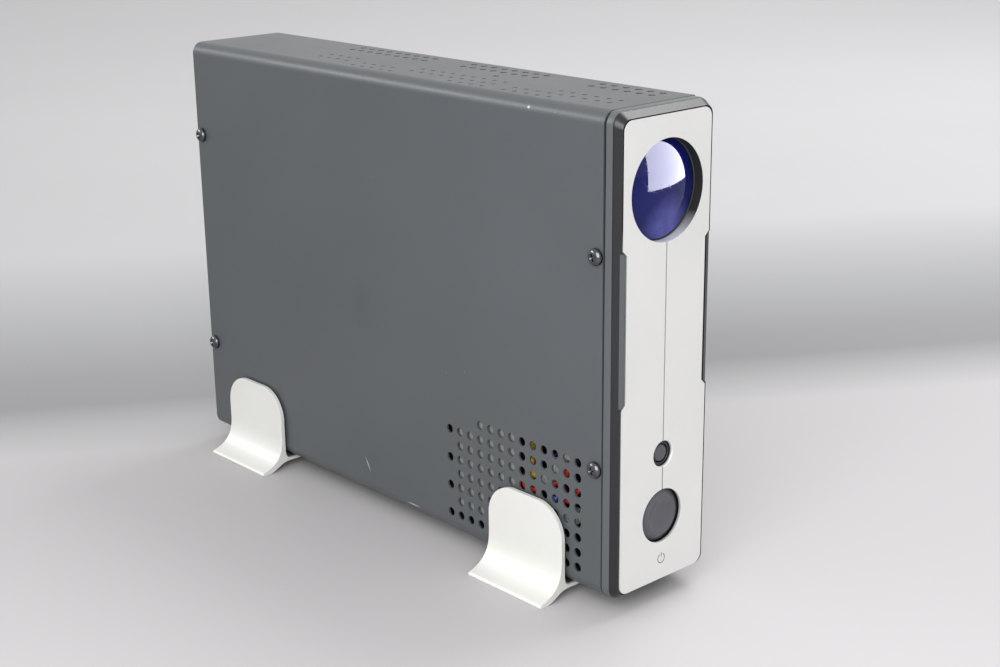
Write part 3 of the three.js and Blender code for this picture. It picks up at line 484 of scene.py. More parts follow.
def plate_blank(name, grow, y0, y1, depth=NOTCH_D):
    """The plate's rounded outline with its two side notches, between two depths."""
    half = PLATE_W / 2 + grow
    blank = block(name, (-half, y0, PLATE_Z0 - grow), (half, y1, PLATE_Z1 + grow))
    round_edges(blank, lambda c, d: along(d, 1), PLATE_CORNER + grow, 12)
    return cut(blank, notch("left_notch", -1, grow, depth), notch("right_notch", 1, grow, depth))


WALL_Y = FACE_Y + PLATE_T + 0.3
FLOOR_OF_CUP = -2.4


RIB_GAP = 0.4  # what the notch's dark gap has beyond the gap round the rest of the plate
RIB_X = PLATE_W / 2 + PLATE_GAP - NOTCH_D + RIB_GAP


def rib_plane(side):
    """The sloping face of a rib beside a notch, as a block turned about its front corner."""
    low, high = (RIB_X, FACE_Y - 4, NOTCH_Z0 + 0.6), (29, FACE_Y + 0.1, NOTCH_Z1 - 0.6)
    if side < 0:
        low, high = (-29, low[1], low[2]), (-RIB_X, high[1], high[2])
    tool = block("rib_plane", low, high)
    bpy.ops.object.mode_set(mode="EDIT")
    bpy.ops.mesh.select_all(action="SELECT")
    bpy.ops.transform.rotate(
        value=math.radians(-18 * side), orient_axis="Z", center_override=at(RIB_X * side, FACE_Y + 0.1, 0))
    return done(tool)


def mould_bezel():
    bezel = block("moulded_bezel", (-HALF_W, -STRIP_D, 0), (HALF_W, BEZEL_REAR, CASE_H))
    round_edges(bezel, lambda c, d: along(d, 1), BEND, 14)
    pick(bezel, "FACE", lambda c, n: n.y < -0.9)
    bpy.ops.mesh.inset(thickness=1.6 * MM, depth=0)
    bpy.ops.transform.translate(value=(0, (STRIP_D - BEZEL_D + 0.2) * MM, 0))
    top_and_bottom = (PLATE_Z1 - PLATE_Z0 + 0.6) / (CASE_H - 3.2)
    middle = at(0, FACE_Y, (PLATE_Z0 + PLATE_Z1) / 2)
    bpy.ops.transform.resize(value=(1, 1, top_and_bottom), center_override=middle)
    shoulder = at(0, -STRIP_D, 0).y
    pick(bezel, "EDGE", lambda c, d: abs(c.y - shoulder) < 1e-6 and abs(d.y) < 0.01)
    bpy.ops.mesh.bevel(offset=0.9 * MM, segments=4, affect="EDGES")
    back = at(0, BEZEL_REAR, 0).y
    left, top = at(-24, 0, 0).x, at(0, 0, CASE_H - BEND - 0.1).z
    pick(bezel, "VERT", lambda c, n: abs(c.y - back) < 1e-6 and c.x < left and c.z > top)
    bpy.ops.transform.translate(value=(0, -0.6 * MM, 0))
    bpy.ops.object.mode_set(mode="OBJECT")
    hollow = block("hollow", (-HALF_W + 2.2, WALL_Y + 2.2, 3.4), (HALF_W - 2.2, 3, CASE_H - 3.4))
    round_edges(hollow, lambda c, d: along(d, 1), 3.4, 6)
    cut(bezel, hollow)
    cup = rod("cup", 22.6, WALL_Y + 1, BEZEL_REAR, (0, LENS_Z), sides=64)
    guide = rod("guide", 14.6, WALL_Y + 1, BEZEL_REAR, (0, POWER_Z), sides=48)
    small_guide = rod("small_guide", 6.8, WALL_Y + 1, BEZEL_REAR, (0, RESET_Z), sides=32)
    cut(bezel, cup, guide, small_guide, operation="UNION")
    cut(
        bezel,
        plate_blank("pocket", PLATE_GAP, FACE_Y - 8, WALL_Y, NOTCH_D - RIB_GAP),
        rib_plane(-1), rib_plane(1),
        rod("recess", 20.3, FACE_Y - 8, FLOOR_OF_CUP, (0, LENS_Z), sides=96),
        rod("collar_seat", LENS_HOLE_R + 0.9, FACE_Y - 8, FACE_Y + 4.7, (0, LENS_Z), sides=96),
        rod("window", 17, FLOOR_OF_CUP - 1, 3, (0, LENS_Z), sides=64),
        rod("power_mouth", POWER_HOLE_R - 0.05, FACE_Y - 8, WALL_Y + 1.5, (0, POWER_Z), sides=80),
        rod("power_guide", 12.9, WALL_Y + 1.5, 3, (0, POWER_Z), sides=64),
        rod("reset_mouth", 4, FACE_Y - 8, WALL_Y + 1.5, (0, RESET_Z), sides=48),
        rod("reset_guide", 5.2, WALL_Y + 1.5, 3, (0, RESET_Z), sides=48),
    )
    return soften(bezel, 0.2, 2, 25)


bezel = mould_bezel()
fit(bezel, "front_bezel")

# %% [markdown]
# ## The front plate
#
# The plate is a 1.2 mm aluminium sheet, sawn and milled after it is anodised, so each cut edge shows
# bright metal. Its material adds painted shade: every face set back from the front face is mixed
# towards near-black, a quarter of the way low down and almost fully from just below the lens upward,
# round the collar. A shallow groove runs down its middle between the lens and the buttons.


# %% Front plate
GROOVE_HALF = 0.35
GROOVE_DEPTH = 0.75
COLLAR_R = LENS_HOLE_R + 0.6
COLLAR_END_Y = FACE_Y + 4.4


def mill_plate():
    plate = plate_blank("milled_front_plate", 0, FACE_Y, FACE_Y + PLATE_T)
    cut(plate, rod("collar", COLLAR_R, FACE_Y + 0.6, COLLAR_END_Y, (0, LENS_Z), sides=128), operation="UNION")
    countersink = turned("countersink", [
        (RESET_HOLE_R + 1.4, FACE_Y - 1), (RESET_HOLE_R, FACE_Y + 0.4), (RESET_HOLE_R, FACE_Y + 3),
    ], (0, RESET_Z), 64)
    cut(
        plate,
        rod("lens_hole", LENS_HOLE_R, FACE_Y - 5, 0, (0, LENS_Z), sides=128),
        rod("power_hole", POWER_HOLE_R, FACE_Y - 5, 0, (0, POWER_Z), sides=96),
        countersink,
        block("upper_groove", (-GROOVE_HALF, FACE_Y - 3, RESET_Z + RESET_HOLE_R - 1),
              (GROOVE_HALF, FACE_Y + GROOVE_DEPTH, 148)),
        block("lower_groove", (-GROOVE_HALF, FACE_Y - 3, POWER_Z + POWER_HOLE_R - 1),
              (GROOVE_HALF, FACE_Y + GROOVE_DEPTH, RESET_Z - RESET_HOLE_R + 1)),
    )
    return soften(plate, 0.12, 2, 30)


plate = mill_plate()
fit(plate, "front_plate")

# %% [markdown]
# ## The lens
#
# The window is a slice of a large ball. Its rim is 20 mm in radius and its middle stands 3.4 mm
# proud, so the ball's radius follows from the circle's chord. A sphere is added at that size, cut
# away behind the slice with Bisect, and its open edge is pulled back to give the lens its rim.

# %% Lens
LENS_R = 20
LENS_RISE = 3.4
LENS_EDGE_Y = FACE_Y + 4.6
BALL_R = (LENS_R ** 2 + LENS_RISE ** 2) / (2 * LENS_RISE)


def grind_lens():
    centre = at(0, LENS_EDGE_Y - LENS_RISE + BALL_R, LENS_Z)
    bpy.ops.mesh.primitive_uv_sphere_add(
        segments=96, ring_count=128, radius=BALL_R * MM, location=centre, rotation=(math.pi / 2, 0, 0))
    lens = done(bpy.context.object)
    lens.name = "domed_lens"
    bpy.ops.object.mode_set(mode="EDIT")
    bpy.ops.mesh.select_all(action="SELECT")
    bpy.ops.mesh.bisect(plane_co=at(0, LENS_EDGE_Y, LENS_Z), plane_no=(0, 1, 0), clear_outer=True)
    rim = at(0, LENS_EDGE_Y, LENS_Z).y
    pick(lens, "EDGE", lambda c, d: abs(c.y - rim) < 1e-6)
    depth = (FLOOR_OF_CUP - 0.3 - LENS_EDGE_Y) * MM
    bpy.ops.mesh.extrude_region_move(TRANSFORM_OT_translate={"value": (0, depth, 0)})
    bpy.ops.mesh.edge_face_add()
    bpy.ops.mesh.select_all(action="SELECT")
    bpy.ops.mesh.normals_make_consistent(inside=False)
    done(lens)
    return soften(lens, 0.15, 2, 50)


lens = grind_lens()
print("ball radius", round(BALL_R, 1), "mm; lens", [round(v * 1000, 1) for v in lens.dimensions])
fit(lens, "lens")

# %% [markdown]
# ## The buttons
#
# Both buttons are small turned shapes: a cap, a flange that stops against the back of the bezel, and a
# stem that reaches the switch. The power cap has a sloping rim and a shallow dish for the fingertip.

# %% Buttons
CAP_Y = FACE_Y + 0.2
FLANGE_Y = WALL_Y + 1.8
STEM_END_Y = 3.6


def turn_power_button():
    rim = POWER_HOLE_R - 0.45
    dish = [(0.05, CAP_Y + 1.35), (2, CAP_Y + 1.31), (4, CAP_Y + 1.15), (5.8, CAP_Y + 0.8), (6.9, CAP_Y + 0.3)]
    cap = [(7.7, CAP_Y), (8.3, CAP_Y + 0.05), (9.4, CAP_Y + 0.75), (rim - 0.1, CAP_Y + 1.75),
           (rim, CAP_Y + 2.1), (rim, FLANGE_Y)]
    tail = [(12.6, FLANGE_Y), (12.6, FLANGE_Y + 1), (2.6, FLANGE_Y + 1), (2.6, STEM_END_Y)]
    return soften(turned("dished_power_button", dish + cap + tail, (0, POWER_Z), 96), 0.12, 3, 14)


def turn_reset_button():
    front = FACE_Y + 1.3
    cap = [(0.05, front + 0.25), (1.2, front + 0.2), (2.4, front + 0.08), (3.1, front), (3.5, front + 0.3)]
    tail = [(3.6, front + 0.6), (3.6, FLANGE_Y), (4.8, FLANGE_Y), (4.8, FLANGE_Y + 1),
            (1.6, FLANGE_Y + 1), (1.6, STEM_END_Y)]
    return soften(turned("dished_reset_button", cap + tail, (0, RESET_Z), 64), 0.1, 2, 20)


power_button = turn_power_button()
reset_button = turn_reset_button()
fit(power_button, "power_button", "power_button")
fit(reset_button, "reset_button", "reset_button")

# %% [markdown]
# ## The stands
#
# Each stand is a length of extruded aluminium. Its section is drawn once: two upright tabs, a web
# under the case, and a foot that curves out to a thick toe. Smooth stretches are cubic curves. The bar
# is then pulled out to 45 mm, and the tabs' upper corners are milled to a large radius, which in
# Blender is a bevel on the four edges that run through each tab's thickness.

# %% Stands
STAND_L = 45
STAND_FRONT_Y = 41.5
STAND_REAR_Y = 240
TAB_TOP = 33.9


def stand_section():
    """Half of the section from the tab's top, down the outside, round the toe and in under the web."""
    outside = [(-30.2, TAB_TOP)] + bezier((-30.2, 10), (-30.2, 1), (-34, -3.1), (-41.4, -5.3), 14)
    toe = bezier((-41.4, -5.3), (-42.2, -5.55), (-42.9, -6.2), (-42.4, -7), 6)
    arch = [(-42.4, -7), (-38.8, -7)] + bezier((-38.4, -7), (-34.5, -6.6), (-31.5, -2.8), (-26.5, -2.6), 10)
    outer = outside + toe + arch + [(-26.5, -2.6)]
    inside = [(-25.6, -1.2)] + bezier((-25.6, -1.2), (-27.2, -1.1), (-28.2, 0.6), (-28.2, 3), 8)[1:]
    inner = inside + [(-28.2, 3), (-28.2, TAB_TOP)]
    mirrored_outer = [(-x, z) for x, z in reversed(outer)]
    mirrored_inner = [(-x, z) for x, z in reversed(inner)]
    return outer + mirrored_outer + mirrored_inner + inner


def extrude_stand(name, middle):
    stand = drawn(name, stand_section(), middle - STAND_L / 2, middle + STAND_L / 2)
    top = at(0, 0, TAB_TOP).z
    round_edges(stand, lambda c, d: along(d, 0) and abs(c.z - top) < 1e-5, 15, 20)
    return soften(stand, 0.22, 2, 35)


front_stand = extrude_stand("extruded_front_stand", STAND_FRONT_Y)
rear_stand = copied(front_stand, "extruded_rear_stand", y=STAND_REAR_Y - STAND_FRONT_Y)
fit(front_stand, "front_stand")
fit(rear_stand, "rear_stand")

# %% [markdown]
# ## Cover screws
#
# The four pan-head screws are cold-formed steel with a cross recess. The head is a low dome, so a
# turned profile gives it, and two crossed wedges press the recess. One screw is made and copied.

# %% Cover screws
SCREW_R = 3.5
SCREW_H = 2.3


def form_screw():
    dome = [(0.05, -SCREW_H), (0.9, -SCREW_H + 0.03), (1.8, -SCREW_H + 0.16), (2.6, -SCREW_H + 0.46),
            (3.2, -SCREW_H + 0.98), (SCREW_R, -0.7), (SCREW_R, 0), (1.4, 0), (1.4, 4.2)]
    screw = turned("pan_head_screw", dome, (0, 0), 48)
    for turn in (0, 1):
        half = (2.2, 0.45) if turn else (0.45, 2.2)
        wedge = block("wedge", (-half[0], -SCREW_H - 1, -half[1]), (half[0], -SCREW_H + 1.4, half[1]))
        tip = at(0, -SCREW_H + 1.4, 0).y
        pick(wedge, "FACE", lambda c, n: abs(c.y - tip) < 1e-6)
        bpy.ops.transform.resize(value=(0.45, 1, 0.45), center_override=at(0, -SCREW_H + 1.4, 0))
        bpy.ops.object.mode_set(mode="OBJECT")
        cut(screw, wedge)
    soften(screw, 0.1, 2, 35)
    only(screw)
    bpy.ops.transform.rotate(value=math.radians(20), orient_axis="Y", center_override=at(0, 0, 0))
    bpy.ops.transform.rotate(value=math.radians(90), orient_axis="Z", center_override=at(0, 0, 0))
    done(screw)
    head_side = sum((v.co.x for v in screw.data.vertices)) / len(screw.data.vertices)
    if head_side > 0:
        screw.data.transform(Matrix.Translation(-at(0, 0, 0)))
        screw.data.transform(Matrix.Rotation(math.pi, 4, "Z"))
        screw.data.transform(Matrix.Translation(at(0, 0, 0)))
    return screw


pattern_screw = form_screw()
for name, (y, z) in COVER_SCREWS.items():
    fit(copied(pattern_screw, name.replace("cover", "pan_head"), x=-HALF_W - 0.3, y=y, z=z), name)
bpy.data.objects.remove(pattern_screw)

# %% [markdown]
# ## The standby mark
#
# A small printed ring with a bar tells which button wakes the machine. It is made as a flat ring 0.03 mm
# thick: a circle is filled, inset, and its middle and top gap are removed.


# %% Standby mark
def print_mark():
    bpy.ops.mesh.primitive_circle_add(
        vertices=48, radius=2.2 * MM, fill_type="NGON", location=at(0, FACE_Y, 11.9), rotation=(math.pi / 2, 0, 0))
    mark = done(bpy.context.object)
    mark.name = "printed_standby_mark"
    pick(mark, "FACE", lambda c, n: True)
    bpy.ops.mesh.inset(thickness=0.38 * MM, depth=0)
    bpy.ops.mesh.delete(type="FACE")
    centre = at(0, FACE_Y, 11.9)
    pick(mark, "FACE", lambda c, n: (c - centre).z > abs(c.x - centre.x) * 1.8)
    bpy.ops.mesh.delete(type="FACE")
    pick(mark, "FACE", lambda c, n: True)
    bpy.ops.mesh.extrude_region_move(TRANSFORM_OT_translate={"value": (0, -0.03 * MM, 0)})
    bpy.ops.mesh.select_all(action="SELECT")
    bpy.ops.mesh.normals_make_consistent(inside=False)
    done(mark)
    bar = block("bar", (-0.19, FACE_Y - 0.03, 12.5), (0.19, FACE_Y, 14.6))
    mark = joined([mark, bar])
    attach(mark, "case")
    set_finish(mark, "grey_plastic")
    return mark


standby_mark = print_mark()
print("standby mark:", len(standby_mark.data.polygons), "faces")

# %% [markdown]
# ## The front harness
#
# Behind the vent a few loose strands run from the power board to the drive and the front board. Each
# one is a Bezier curve with a round bevel, turned into a mesh. They are bent as wire bends, close to
# the sheet, so their colours show through the holes. Small nylon plugs sit at their ends.


# %% Front harness
STRAND_R = 1.25
STRANDS = {  # colour slot and the (x, y, z) points of each strand
    "red_strand_long": ("red_insulation", [
        (-9, 10.5, 62), (-19, 12, 48), (-23.6, 13.5, 42), (-23.6, 19.5, 36.5), (-22, 25, 41.5), (-23.4, 30, 39.5),
        (-23.6, 39.4, 35.4), (-23.2, 45, 35.4), (-21.6, 47, 38), (-14, 47.5, 44), (-9, 50, 78)]),
    "red_strand_short": ("red_insulation", [
        (-8, 14, 70), (-18, 17, 58), (-23.5, 19.6, 48.6), (-20, 22, 42), (-12, 24, 38)]),
    "yellow_strand": ("yellow_insulation", [
        (-9, 46, 62), (-18, 44, 55), (-23.4, 40.8, 48.5), (-23.6, 39.8, 42.4), (-19, 39, 40.5), (-12, 34, 38)]),
    "blue_strand": ("blue_insulation", [
        (-8, 32, 20), (-18, 29, 25), (-23.4, 26.4, 32), (-23.2, 26.2, 35.6), (-18, 25.5, 37), (-10, 25, 36)]),
}
STRAND_SHIFT = (0, 3, -1.3)  # moves the strands into line with the holes from the camera's side
PLUGS = [(38, 40), (31.6, 46.8), (25, 54.6), (25, 25.4)]


def lay_strand(name, slot, points):
    bpy.ops.curve.primitive_bezier_curve_add(location=(0, 0, 0))
    strand = bpy.context.object
    strand.name = name
    line = strand.data.splines[0]
    line.bezier_points.add(len(points) - 2)
    for knot, point in zip(line.bezier_points, points):
        knot.co = at(*point) + Vector(STRAND_SHIFT) * MM
        knot.handle_left_type = knot.handle_right_type = "AUTO"
    strand.data.bevel_depth = STRAND_R * MM
    strand.data.bevel_resolution = 4
    strand.data.resolution_u = 10
    strand.data.use_fill_caps = True
    only(strand)
    bpy.ops.object.convert(target="MESH")
    strand = bpy.context.object
    bpy.ops.object.mode_set(mode="EDIT")
    bpy.ops.mesh.select_all(action="SELECT")
    bpy.ops.mesh.remove_doubles(threshold=0.001 * MM)
    bpy.ops.mesh.normals_make_consistent(inside=False)
    done(strand)
    bpy.ops.object.shade_smooth_by_angle(angle=math.radians(50))
    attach(strand, "case")
    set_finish(strand, slot)
    return strand


def mould_plug(name, y, z):
    """A nylon plug with a row of wire holes in its face."""
    plug = block(name, (-21.8, y - 3.2, z - 2.6), (-14, y + 3.2, z + 2.6))
    cut(plug, *[rod("wire_hole", 0.7, -23, -19, (y + step, z), "X", 16) for step in (-1.6, 1.6)])
    soften(plug, 0.25, 2)
    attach(plug, "case")
    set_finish(plug, "white_plastic")
    return plug


for name, (slot, points) in STRANDS.items():
    strand = lay_strand(name, slot, points)
    print(name, [round(v * 1000, 1) for v in strand.dimensions], "mm")
for i, (y, z) in enumerate(PLUGS):
    mould_plug(f"harness_plug_{i + 1}", y, z)

# %% [markdown]
# ## Colours and nodes
#
# Colours are picked as sRGB hex codes, and one function turns them into the linear values that light
# uses. One more function adds a node with its settings, values and links, so each material below reads
# like a recipe. Patterns use Object coordinates, which are metres here, so a pattern of a given size in
# millimetres has a scale of 1000 divided by that size.


# %% Material helpers
def linear(code):
    """An sRGB hex code as linear red, green, blue and alpha."""
    values = [int(code[i:i + 2], 16) / 255 for i in (0, 2, 4)]
    return tuple(v / 12.92 if v <= 0.04045 else ((v + 0.055) / 1.055) ** 2.4 for v in values) + (1,)


def set_inputs(material, node, inputs):
    """Gives each socket its value, or links it when the value is another node's output."""
    for socket, value in inputs.items():
        if isinstance(value, bpy.types.NodeSocket):
            material.node_tree.links.new(value, node.inputs[socket])
        else:
            node.inputs[socket].default_value = value


def add_node(material, kind, inputs, **settings):
    """Adds one node with its settings, values and links."""
    node = material.node_tree.nodes.new("ShaderNode" + kind)
    for key, value in settings.items():
        setattr(node, key, value)
    set_inputs(material, node, inputs)
    return node


def new_material(name, inputs):
    """A material with one Principled shader that takes these values."""
    material = bpy.data.materials.new(name)
    material.use_nodes = True
    set_inputs(material, material.node_tree.nodes["Principled BSDF"], inputs)
    return material


def finish_with(material, inputs):
    """Sets or links more of the shader's own sockets."""
    set_inputs(material, material.node_tree.nodes["Principled BSDF"], inputs)
    return material


def per_mm(size):
    """The texture scale for features of this size in millimetres."""
    return 1000 / size


def grained(name, dark, light, mottle, grain, depth, rough, **plain):
    """A surface with soft colour mottling and a fine grain that both bumps it and breaks its shine."""
    material = new_material(name, {key.replace("_", " "): value for key, value in plain.items()})
    place = add_node(material, "TexCoord", {}).outputs["Object"]
    cloud = add_node(material, "TexNoise", {"Vector": place, "Scale": per_mm(mottle), "Detail": 4})
    fine = add_node(material, "TexNoise", {"Vector": place, "Scale": per_mm(grain), "Detail": 2})
    both = add_node(material, "Mix", {0: 0.35, 2: cloud.outputs[0], 3: fine.outputs[0]})
    tone = add_node(material, "Mix", {0: both.outputs[0], 6: linear(dark), 7: linear(light)}, data_type="RGBA")
    shine = add_node(material, "MapRange", {0: both.outputs[0], 1: 0.3, 2: 0.7, 3: rough[0], 4: rough[1]})
    bump = add_node(material, "Bump", {"Height": fine.outputs[0], "Strength": 1, "Distance": depth * MM})
    return finish_with(material, {
        "Base Color": tone.outputs[2], "Roughness": shine.outputs[0], "Normal": bump.outputs[0]})


# %% [markdown]
# ## Powder-coated steel
#
# Powder paint melts into a skin with a fine, even texture, so the shine is broad and a little grainy.
# Long use adds marks: pale dust specks and thin pale scratches near the bottom edge. The paint is
# also darker in one soft patch above a small dent. Each mark is a mask in Object coordinates, mixed
# over the paint.


# %% Powder-coated steel
def spot(material, place, y, z, width, height, tilt=0.0):
    """1 in the middle of an ellipse on the side, falling to 0 at its edge."""
    centre = at(0, y, z)
    shifted = add_node(material, "VectorMath", {0: place, 1: (0, centre.y, centre.z)}, operation="SUBTRACT")
    turned_place = add_node(material, "VectorRotate", {"Vector": shifted.outputs[0], "Angle": tilt},
                            rotation_type="X_AXIS")
    scaled = add_node(material, "VectorMath", {
        0: turned_place.outputs[0], 1: (0, 1000 / width, 1000 / height)}, operation="MULTIPLY")
    far = add_node(material, "VectorMath", {0: scaled.outputs[0]}, operation="LENGTH")
    return add_node(material, "MapRange", {0: far.outputs["Value"], 1: 1, 2: 0.2, 3: 0, 4: 1}).outputs[0]


def make_powder_coat():
    material = grained("powder_coated_steel", "424548", "4D5154", 70, 0.55, 0.05, (0.36, 0.48))
    tree = material.node_tree
    shader = tree.nodes["Principled BSDF"]
    paint = shader.inputs["Base Color"].links[0].from_socket
    place = add_node(material, "TexCoord", {}).outputs["Object"]
    speck = add_node(material, "TexVoronoi", {"Vector": place, "Scale": per_mm(5)})
    dust = add_node(material, "MapRange", {0: speck.outputs["Distance"], 1: 0.06, 2: 0.03, 3: 0, 4: 0.5})
    sparse = add_node(material, "TexNoise", {"Vector": place, "Scale": per_mm(22), "Detail": 2})
    few = add_node(material, "MapRange", {0: sparse.outputs[0], 1: 0.56, 2: 0.66, 3: 0, 4: 1})
    dust = add_node(material, "Math", {0: dust.outputs[0], 1: few.outputs[0]}, operation="MULTIPLY")
    dusty = add_node(material, "Mix", {0: dust.outputs[0], 6: paint, 7: linear("A9ABAE")}, data_type="RGBA")
    # The paint is darker in one soft patch above the small dent.
    dark_patch = add_node(material, "Math", {0: spot(material, place, 153, 93, 9, 14), 1: 0.3}, operation="MULTIPLY")
    dusty_with_dark_patch = add_node(material, "Mix", {
        0: dark_patch.outputs[0], 6: dusty.outputs[2], 7: linear("3A3D42")}, data_type="RGBA")
    scratch = add_node(material, "Math", {
        0: spot(material, place, 152, 14.5, 0.35, 4.5, 0.5), 1: spot(material, place, 119, 4.2, 5.5, 0.4)},
        operation="MAXIMUM")
    nick = add_node(material, "Math", {
        0: scratch.outputs[0], 1: spot(material, place, 41, 196.6, 0.9, 0.7)}, operation="MAXIMUM")
    marked = add_node(material, "Mix", {
        0: nick.outputs[0], 6: dusty_with_dark_patch.outputs[2], 7: linear("B5B6B8")}, data_type="RGBA")
    return finish_with(material, {"Base Color": marked.outputs[2]})


powder_coat = make_powder_coat()

# %% [markdown]
# ## Metals
#
# Metals keep their reflections sharp or soft by roughness alone. The bead-blasted, clear-anodised
# aluminium has a fine sparkle and no direction. Zinc plating is duller and cloudier. Nickel-plated
# screws are bright. The drive bracket is passivated, which leaves a pale skin that scatters light. Each
# finish has its own grain size.

# %% Metals
satin_aluminium = grained(
    "bead_blasted_anodised_aluminium", "D5D5D4", "E1E1DF", 40, 0.3, 0.02, (0.42, 0.56), Metallic=0.5)
pearl_aluminium = grained(
    "pearl_anodised_aluminium", "CDCDC8", "D9D9D5", 40, 0.35, 0.015, (0.4, 0.52), Metallic=0.2)
zinc_plate = grained("zinc_plated_steel", "8E9190", "A5A8A6", 6, 1.2, 0.012, (0.28, 0.46), Metallic=1.0)
nickel_plate = grained("nickel_plated_steel", "4A4B4F", "6A6B6F", 3, 0.4, 0.008, (0.12, 0.24), Metallic=1.0)
passivated_zinc = grained(
    "white_passivated_zinc", "83847F", "979894", 6, 1.2, 0.012, (0.5, 0.7), Metallic=0.1)
spring_wire = grained("drawn_spring_steel", "7C7D80", "98999C", 4, 0.5, 0.01, (0.22, 0.35), Metallic=1.0)
turned_brass = grained("turned_brass", "B08D42", "C6A257", 3, 0.25, 0.01, (0.22, 0.36), Metallic=1.0)
natural_anodised = grained(
    "matt_anodised_aluminium", "8A8D90", "A2A5A8", 12, 0.4, 0.02, (0.38, 0.5), Metallic=1.0)

# %% [markdown]
# ## Plastics, rubber and boards
#
# Moulded parts take the texture of the steel mould. Housings have a fine spark texture; the buttons
# are smoother from fingers. Rubber is matt. Wire insulation is glossy PVC. A circuit board is glass
# cloth under a thin green resist, so it shows a faint weave and darker lines where copper runs below.


# %% Plastics and boards
black_plastic = grained("spark_textured_black_plastic", "121315", "1A1B1D", 30, 0.35, 0.02, (0.34, 0.46))
grey_plastic = grained("smooth_grey_plastic", "434348", "4D4D53", 8, 0.2, 0.012, (0.26, 0.36))
white_plastic = grained("natural_nylon", "D8D5CC", "E6E4DC", 8, 0.5, 0.01, (0.4, 0.52), Subsurface_Weight=0.15)
blue_plastic = grained("moulded_blue_plastic", "1E4A9C", "275AB4", 8, 0.4, 0.01, (0.35, 0.45))
stand_rubber = grained("matt_black_rubber", "1D1D1E", "2A2A2B", 10, 0.6, 0.04, (0.7, 0.85))
red_pvc = grained("glossy_red_insulation", "9C2320", "B02C26", 12, 1.5, 0.01, (0.28, 0.4))
yellow_pvc = grained("glossy_yellow_insulation", "B39A2C", "C4AA38", 12, 1.5, 0.01, (0.28, 0.4))
blue_pvc = grained("glossy_blue_insulation", "232F78", "2C3A8A", 12, 1.5, 0.01, (0.28, 0.4))


def make_bezel_plastic():
    """Gloss black in front and a smoother grey on the side strip; the rib in the left notch takes the same grey as
    painted light from the left, while the right rib stays black.
    """
    material = black_plastic.copy()
    material.name = "two_tone_bezel_plastic_with_painted_rib_light"
    shader = material.node_tree.nodes["Principled BSDF"]
    paint = shader.inputs["Base Color"].links[0].from_socket
    shine = shader.inputs["Roughness"].links[0].from_socket
    place = add_node(material, "TexCoord", {}).outputs["Object"]
    part = add_node(material, "SeparateXYZ", {0: place}).outputs
    strip = add_node(material, "Math", {0: part["Y"], 1: at(0, -STRIP_D, 0).y}, operation="GREATER_THAN")
    front = add_node(material, "Math", {0: part["Y"], 1: at(0, FACE_Y + 0.85, 0).y}, operation="LESS_THAN")
    middle = at(0, 0, (NOTCH_Z0 + NOTCH_Z1) / 2).z
    beside = add_node(material, "Math", {
        0: part["Z"], 1: middle, 2: (NOTCH_Z1 - NOTCH_Z0 - 2) / 2 * MM}, operation="COMPARE")
    # Painted light: only the rib on the left, where light falls from the left, takes the grey; the right rib keeps
    # the black.
    left = add_node(material, "Math", {0: part["X"], 1: 0}, operation="LESS_THAN")
    raised = add_node(material, "Math", {0: front.outputs[0], 1: beside.outputs[0]}, operation="MULTIPLY")
    rib = add_node(material, "Math", {0: raised.outputs[0], 1: left.outputs[0]}, operation="MULTIPLY")
    satin_strip_and_painted_lit_rib = add_node(material, "Math", {0: strip.outputs[0], 1: rib.outputs[0]}, operation="MAXIMUM")
    # The grey 4D5154 is the side strip's real paint, and on the left rib it is painted light.
    tone = add_node(material, "Mix", {0: satin_strip_and_painted_lit_rib.outputs[0], 6: paint, 7: linear("4D5154")}, data_type="RGBA")
    rough = add_node(material, "Mix", {0: satin_strip_and_painted_lit_rib.outputs[0], 2: 0.27, 3: shine})
    return finish_with(material, {"Base Color": tone.outputs[2], "Roughness": rough.outputs[0]})


bezel_plastic = make_bezel_plastic()


def make_board():
    material = new_material("green_circuit_board", {"Coat Weight": 0.3, "Coat Roughness": 0.2})
    place = add_node(material, "TexCoord", {}).outputs["Object"]
    tracks = add_node(material, "TexBrick", {
        "Vector": place, "Color1": linear("0F3B26"), "Color2": linear("14472E"),
        "Mortar": linear("1E5E3B"), "Scale": per_mm(4), "Mortar Size": 0.06})
    weave = add_node(material, "TexChecker", {"Vector": place, "Scale": per_mm(0.6)})
    bump = add_node(material, "Bump", {"Height": weave.outputs["Fac"], "Strength": 0.4, "Distance": 0.01 * MM})
    cloud = add_node(material, "TexNoise", {"Vector": place, "Scale": per_mm(9)})
    shine = add_node(material, "MapRange", {0: cloud.outputs[0], 1: 0.3, 2: 0.7, 3: 0.3, 4: 0.48})
    return finish_with(material, {
        "Base Color": tracks.outputs["Color"], "Roughness": shine.outputs[0], "Normal": bump.outputs[0]})


circuit_board = make_board()

